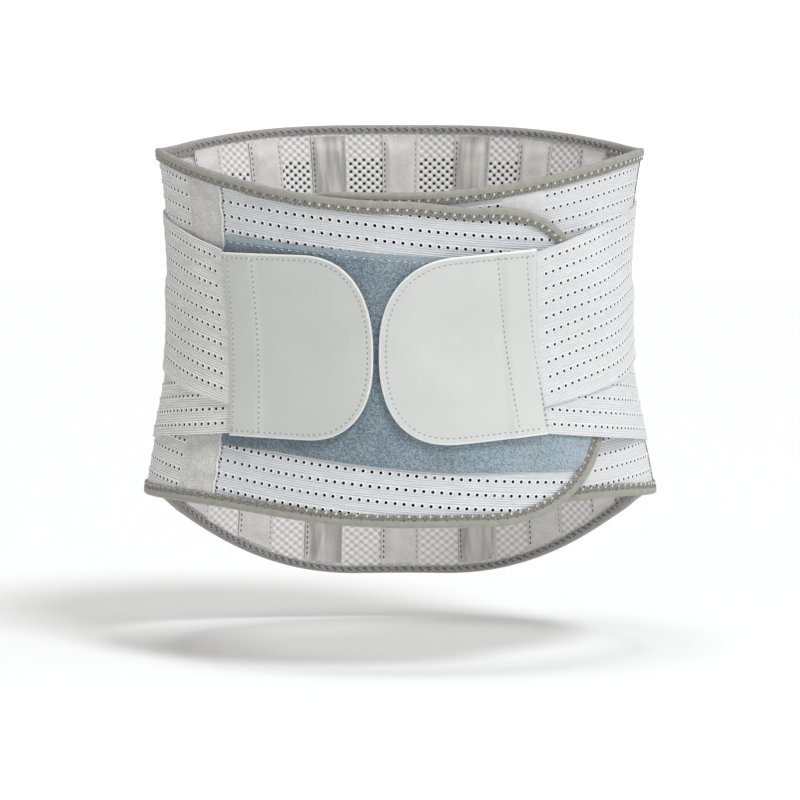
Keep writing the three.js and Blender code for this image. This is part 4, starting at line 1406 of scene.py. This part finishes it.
def side_seam():
    at, half = arc_of(SIDE_SEAM), 1.5
    s, z, faces = field(np.linspace(at - half, at + half, 5), 90, cloth_bottom(1, 9), cloth_top(1, 9))
    bulge = 0.3 * (1 - ((s - at) / half) ** 2)
    cloth = Cloth("left_side_seam_tape")
    shell(cloth, s, z, -0.35, -0.75 - bulge, faces, "seam")
    seam_row(cloth, at, (75.0, 258.0), level(-1.0), 3.0, 1.7, 0.8, -0.3, "dark_thread")
    for low, high in ((70.0, 95.5), (236.5, 265.0)):  # clear of the straps
        line, rows = np.array([at] * 12), np.linspace(low, high, 12)
        rope(cloth, line, rows, level(ELASTIC + 0.05), 0.35, "seam")
        seam_row(cloth, line, rows, level(ELASTIC + 0.15), 2.6, 1.3, 0.9, 0.3, "dark_thread")
    finish_piece(cloth, "seam", ["left_side_seam"], body="left_front")


def back_bindings():
    rows = spans(BACK_FROM, BACK_TO, 2.0)
    # the cloth lies on the left of the line, so the top runs the other way
    for end, s, edge in (("top", rows[::-1], BACK_EDGES[1]), ("bottom", rows, BACK_EDGES[0])):
        cloth = Cloth(f"back_{end}_binding_tape")
        edge_tape(cloth, s, edge(s), level(0), level(BACK_OUTER), lambda s: "dark_binding",
                  BACK_ROWS, BACK_STITCH, inner_leaf=3.6)
        finish_piece(cloth, "dark_binding", [f"back_{end}_binding"], body="back")


def patch(a, b, low, high, step, rows):
    """Grid of a straight patch of cloth, and the distance of its points to its edge."""
    s, z, faces = field(spans(a, b, step), rows, level(low), level(high))
    return s, z, faces, np.minimum(np.minimum(s - a, b - s), np.minimum(z - low, high - z))


ANCHOR_LOW, ANCHOR_HIGH, ANCHOR_INSET = 84, 252, 3
CLOSURE_HOOK = (26, 88, 98, 190)  # least and greatest s, and lowest and highest z


def strap_anchor(side):
    ends = [REAR + 0.6, arc_of(ANCHOR_END)]
    a, b = sorted(2 * HALF_ROUND - e for e in ends) if side == "right" else ends
    s, z, faces, edge = patch(a, b, ANCHOR_LOW, ANCHOR_HIGH, 1.2, 90)
    over = BACK_OUTER + 0.95
    outer = over + 1.05 - 0.5 * (1 - smooth(edge, -0.3, 1.0)) + 0.12 * uneven(s / 5, z / 9, 3)
    cloth = Cloth(side + "_strap_anchor_tape")
    shell(cloth, s, z, outer, over - 0.15, faces, "webbing")
    a, b = a + 2, b - 2
    low, high = ANCHOR_LOW + ANCHOR_INSET, ANCHOR_HIGH - ANCHOR_INSET
    rows = [((a, b, b, a, a), (low, low, high, high, low))]
    rows += [(cross, (foot, foot + 40)) for foot in (92, 148, 204) for cross in ((a, b), (b, a))]
    for row in rows:
        seam_row(cloth, *row, level(over + 0.95), 3.2, 2.1, 0.7, 0.3, "light_thread")
    finish_piece(cloth, "webbing", [side + "_strap_anchor"], body="back")


def closure_hook():
    s, z, faces, edge = patch(*CLOSURE_HOOK, 3, 34)
    top = OVERLAP - GAP
    cloth = Cloth("closure_hook_cloth")
    shell(cloth, s, z, top + 0.5, top - HOOK + 0.4 * (1 - smooth(edge, -0.2, 1)), faces, "hook")
    finish_piece(cloth, "hook", ["closure_hook_patch"], body="right_front")


# ---------------------------------------------------------------- making the belt

for side in SIDES:
    side_elastic(side)
    side_webbing(side)
    side_tunnel(side)
    front_bindings(side)
    for strap in ("upper", "lower"):
        for part in ("", "_root") if side == "right" else ("",):
            pull_strap(side, strap, part)
    pull_tab(side)
    tab_hook(side)
    strap_anchor(side)
for make in (right_front_panel, left_front_panel, loop_pad, closure_hook, side_seam, back_cover,
             back_lining, back_tunnels, back_bindings):
    make()

for name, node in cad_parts.items():
    if "stay" in name and "channel" not in name:
        node.data.materials.clear()
        node.data.materials.append(MATERIALS["steel" if name.startswith("steel") else "plastic"])

# ---------------------------------------------------------------- floor, light and camera

FLOOR_Z = -0.03
FLOOR_HALF = 12.0
COOL = (0.965, 0.985, 1.0)
# name, way the light goes, strength, spread in degrees, colour
SUNS = (
    ("key", (-0.5, 0.7, -1.1), 1.38, 18, COOL),
    ("top", (0.05, 0.08, -1.0), 0.8, 22, (1, 1, 1)),
    ("side", (-1.0, 0.3, -0.3), 0.55, 45, COOL),
    ("front", (-0.1, 1.0, 0.12), 0.22, 60, (1, 1, 1)),
)


def facing(towards):
    return Vector(towards).to_track_quat("-Z", "Y").to_euler()


def studio():
    bpy.context.scene.view_settings.view_transform = "Standard"
    world = bpy.data.worlds.new("studio")
    bpy.context.scene.world = world
    world.use_nodes = True
    nodes, links = world.node_tree.nodes, world.node_tree.links
    soft, backdrop = nodes["Background"], nodes.new("ShaderNodeBackground")
    for node, colour, strength in ((soft, (1, 0.99, 0.975, 1), 0.40), (backdrop, (1, 1, 1, 1), 1.1)):
        node.inputs["Color"].default_value = colour
        node.inputs["Strength"].default_value = strength
    path, pick = nodes.new("ShaderNodeLightPath"), nodes.new("ShaderNodeMixShader")
    links.new(path.outputs["Is Camera Ray"], pick.inputs[0])
    links.new(soft.outputs[0], pick.inputs[1])
    links.new(backdrop.outputs[0], pick.inputs[2])
    links.new(pick.outputs[0], nodes["World Output"].inputs["Surface"])
    floor = bpy.data.meshes.new("floor")
    r = FLOOR_HALF
    floor.from_pydata([(-r, -r, 0), (r, -r, 0), (r, r, 0), (-r, r, 0)], [], [(0, 1, 2, 3)])
    paper = bpy.data.materials.new("floor_paper")
    paper.use_nodes = True
    shader = paper.node_tree.nodes["Principled BSDF"]
    shader.inputs["Base Color"].default_value = (0.97, 0.97, 0.97, 1)
    shader.inputs["Roughness"].default_value = 0.95
    shader.inputs["Specular IOR Level"].default_value = 0.1
    floor.materials.append(paper)
    floor_object = linked("floor", floor)
    floor_object.location.z = FLOOR_Z
    floor_object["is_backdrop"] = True
    for name, towards, strength, spread, colour in SUNS:
        lamp = bpy.data.lights.new(name, "SUN")
        lamp.color, lamp.energy, lamp.angle = colour, strength, math.radians(spread)
        linked(name, lamp).rotation_euler = facing(towards)


def camera():
    lens = bpy.data.cameras.new("camera")
    lens.lens, lens.sensor_width, lens.shift_y = 120, 36, -0.0625
    holder = linked("camera", lens)
    target, tilt, distance = Vector((0, 0, 0.149)), math.radians(2.5), 1.6
    holder.location = target + Vector((0, -math.cos(tilt), math.sin(tilt))) * distance
    holder.rotation_euler = facing(target - holder.location)
    bpy.context.scene.camera = holder


studio()
camera()

box = lambda b: [[round(float(v), 5) for v in corner] for corner in b]
{"cad": box(cad_box), "visual": box(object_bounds())}
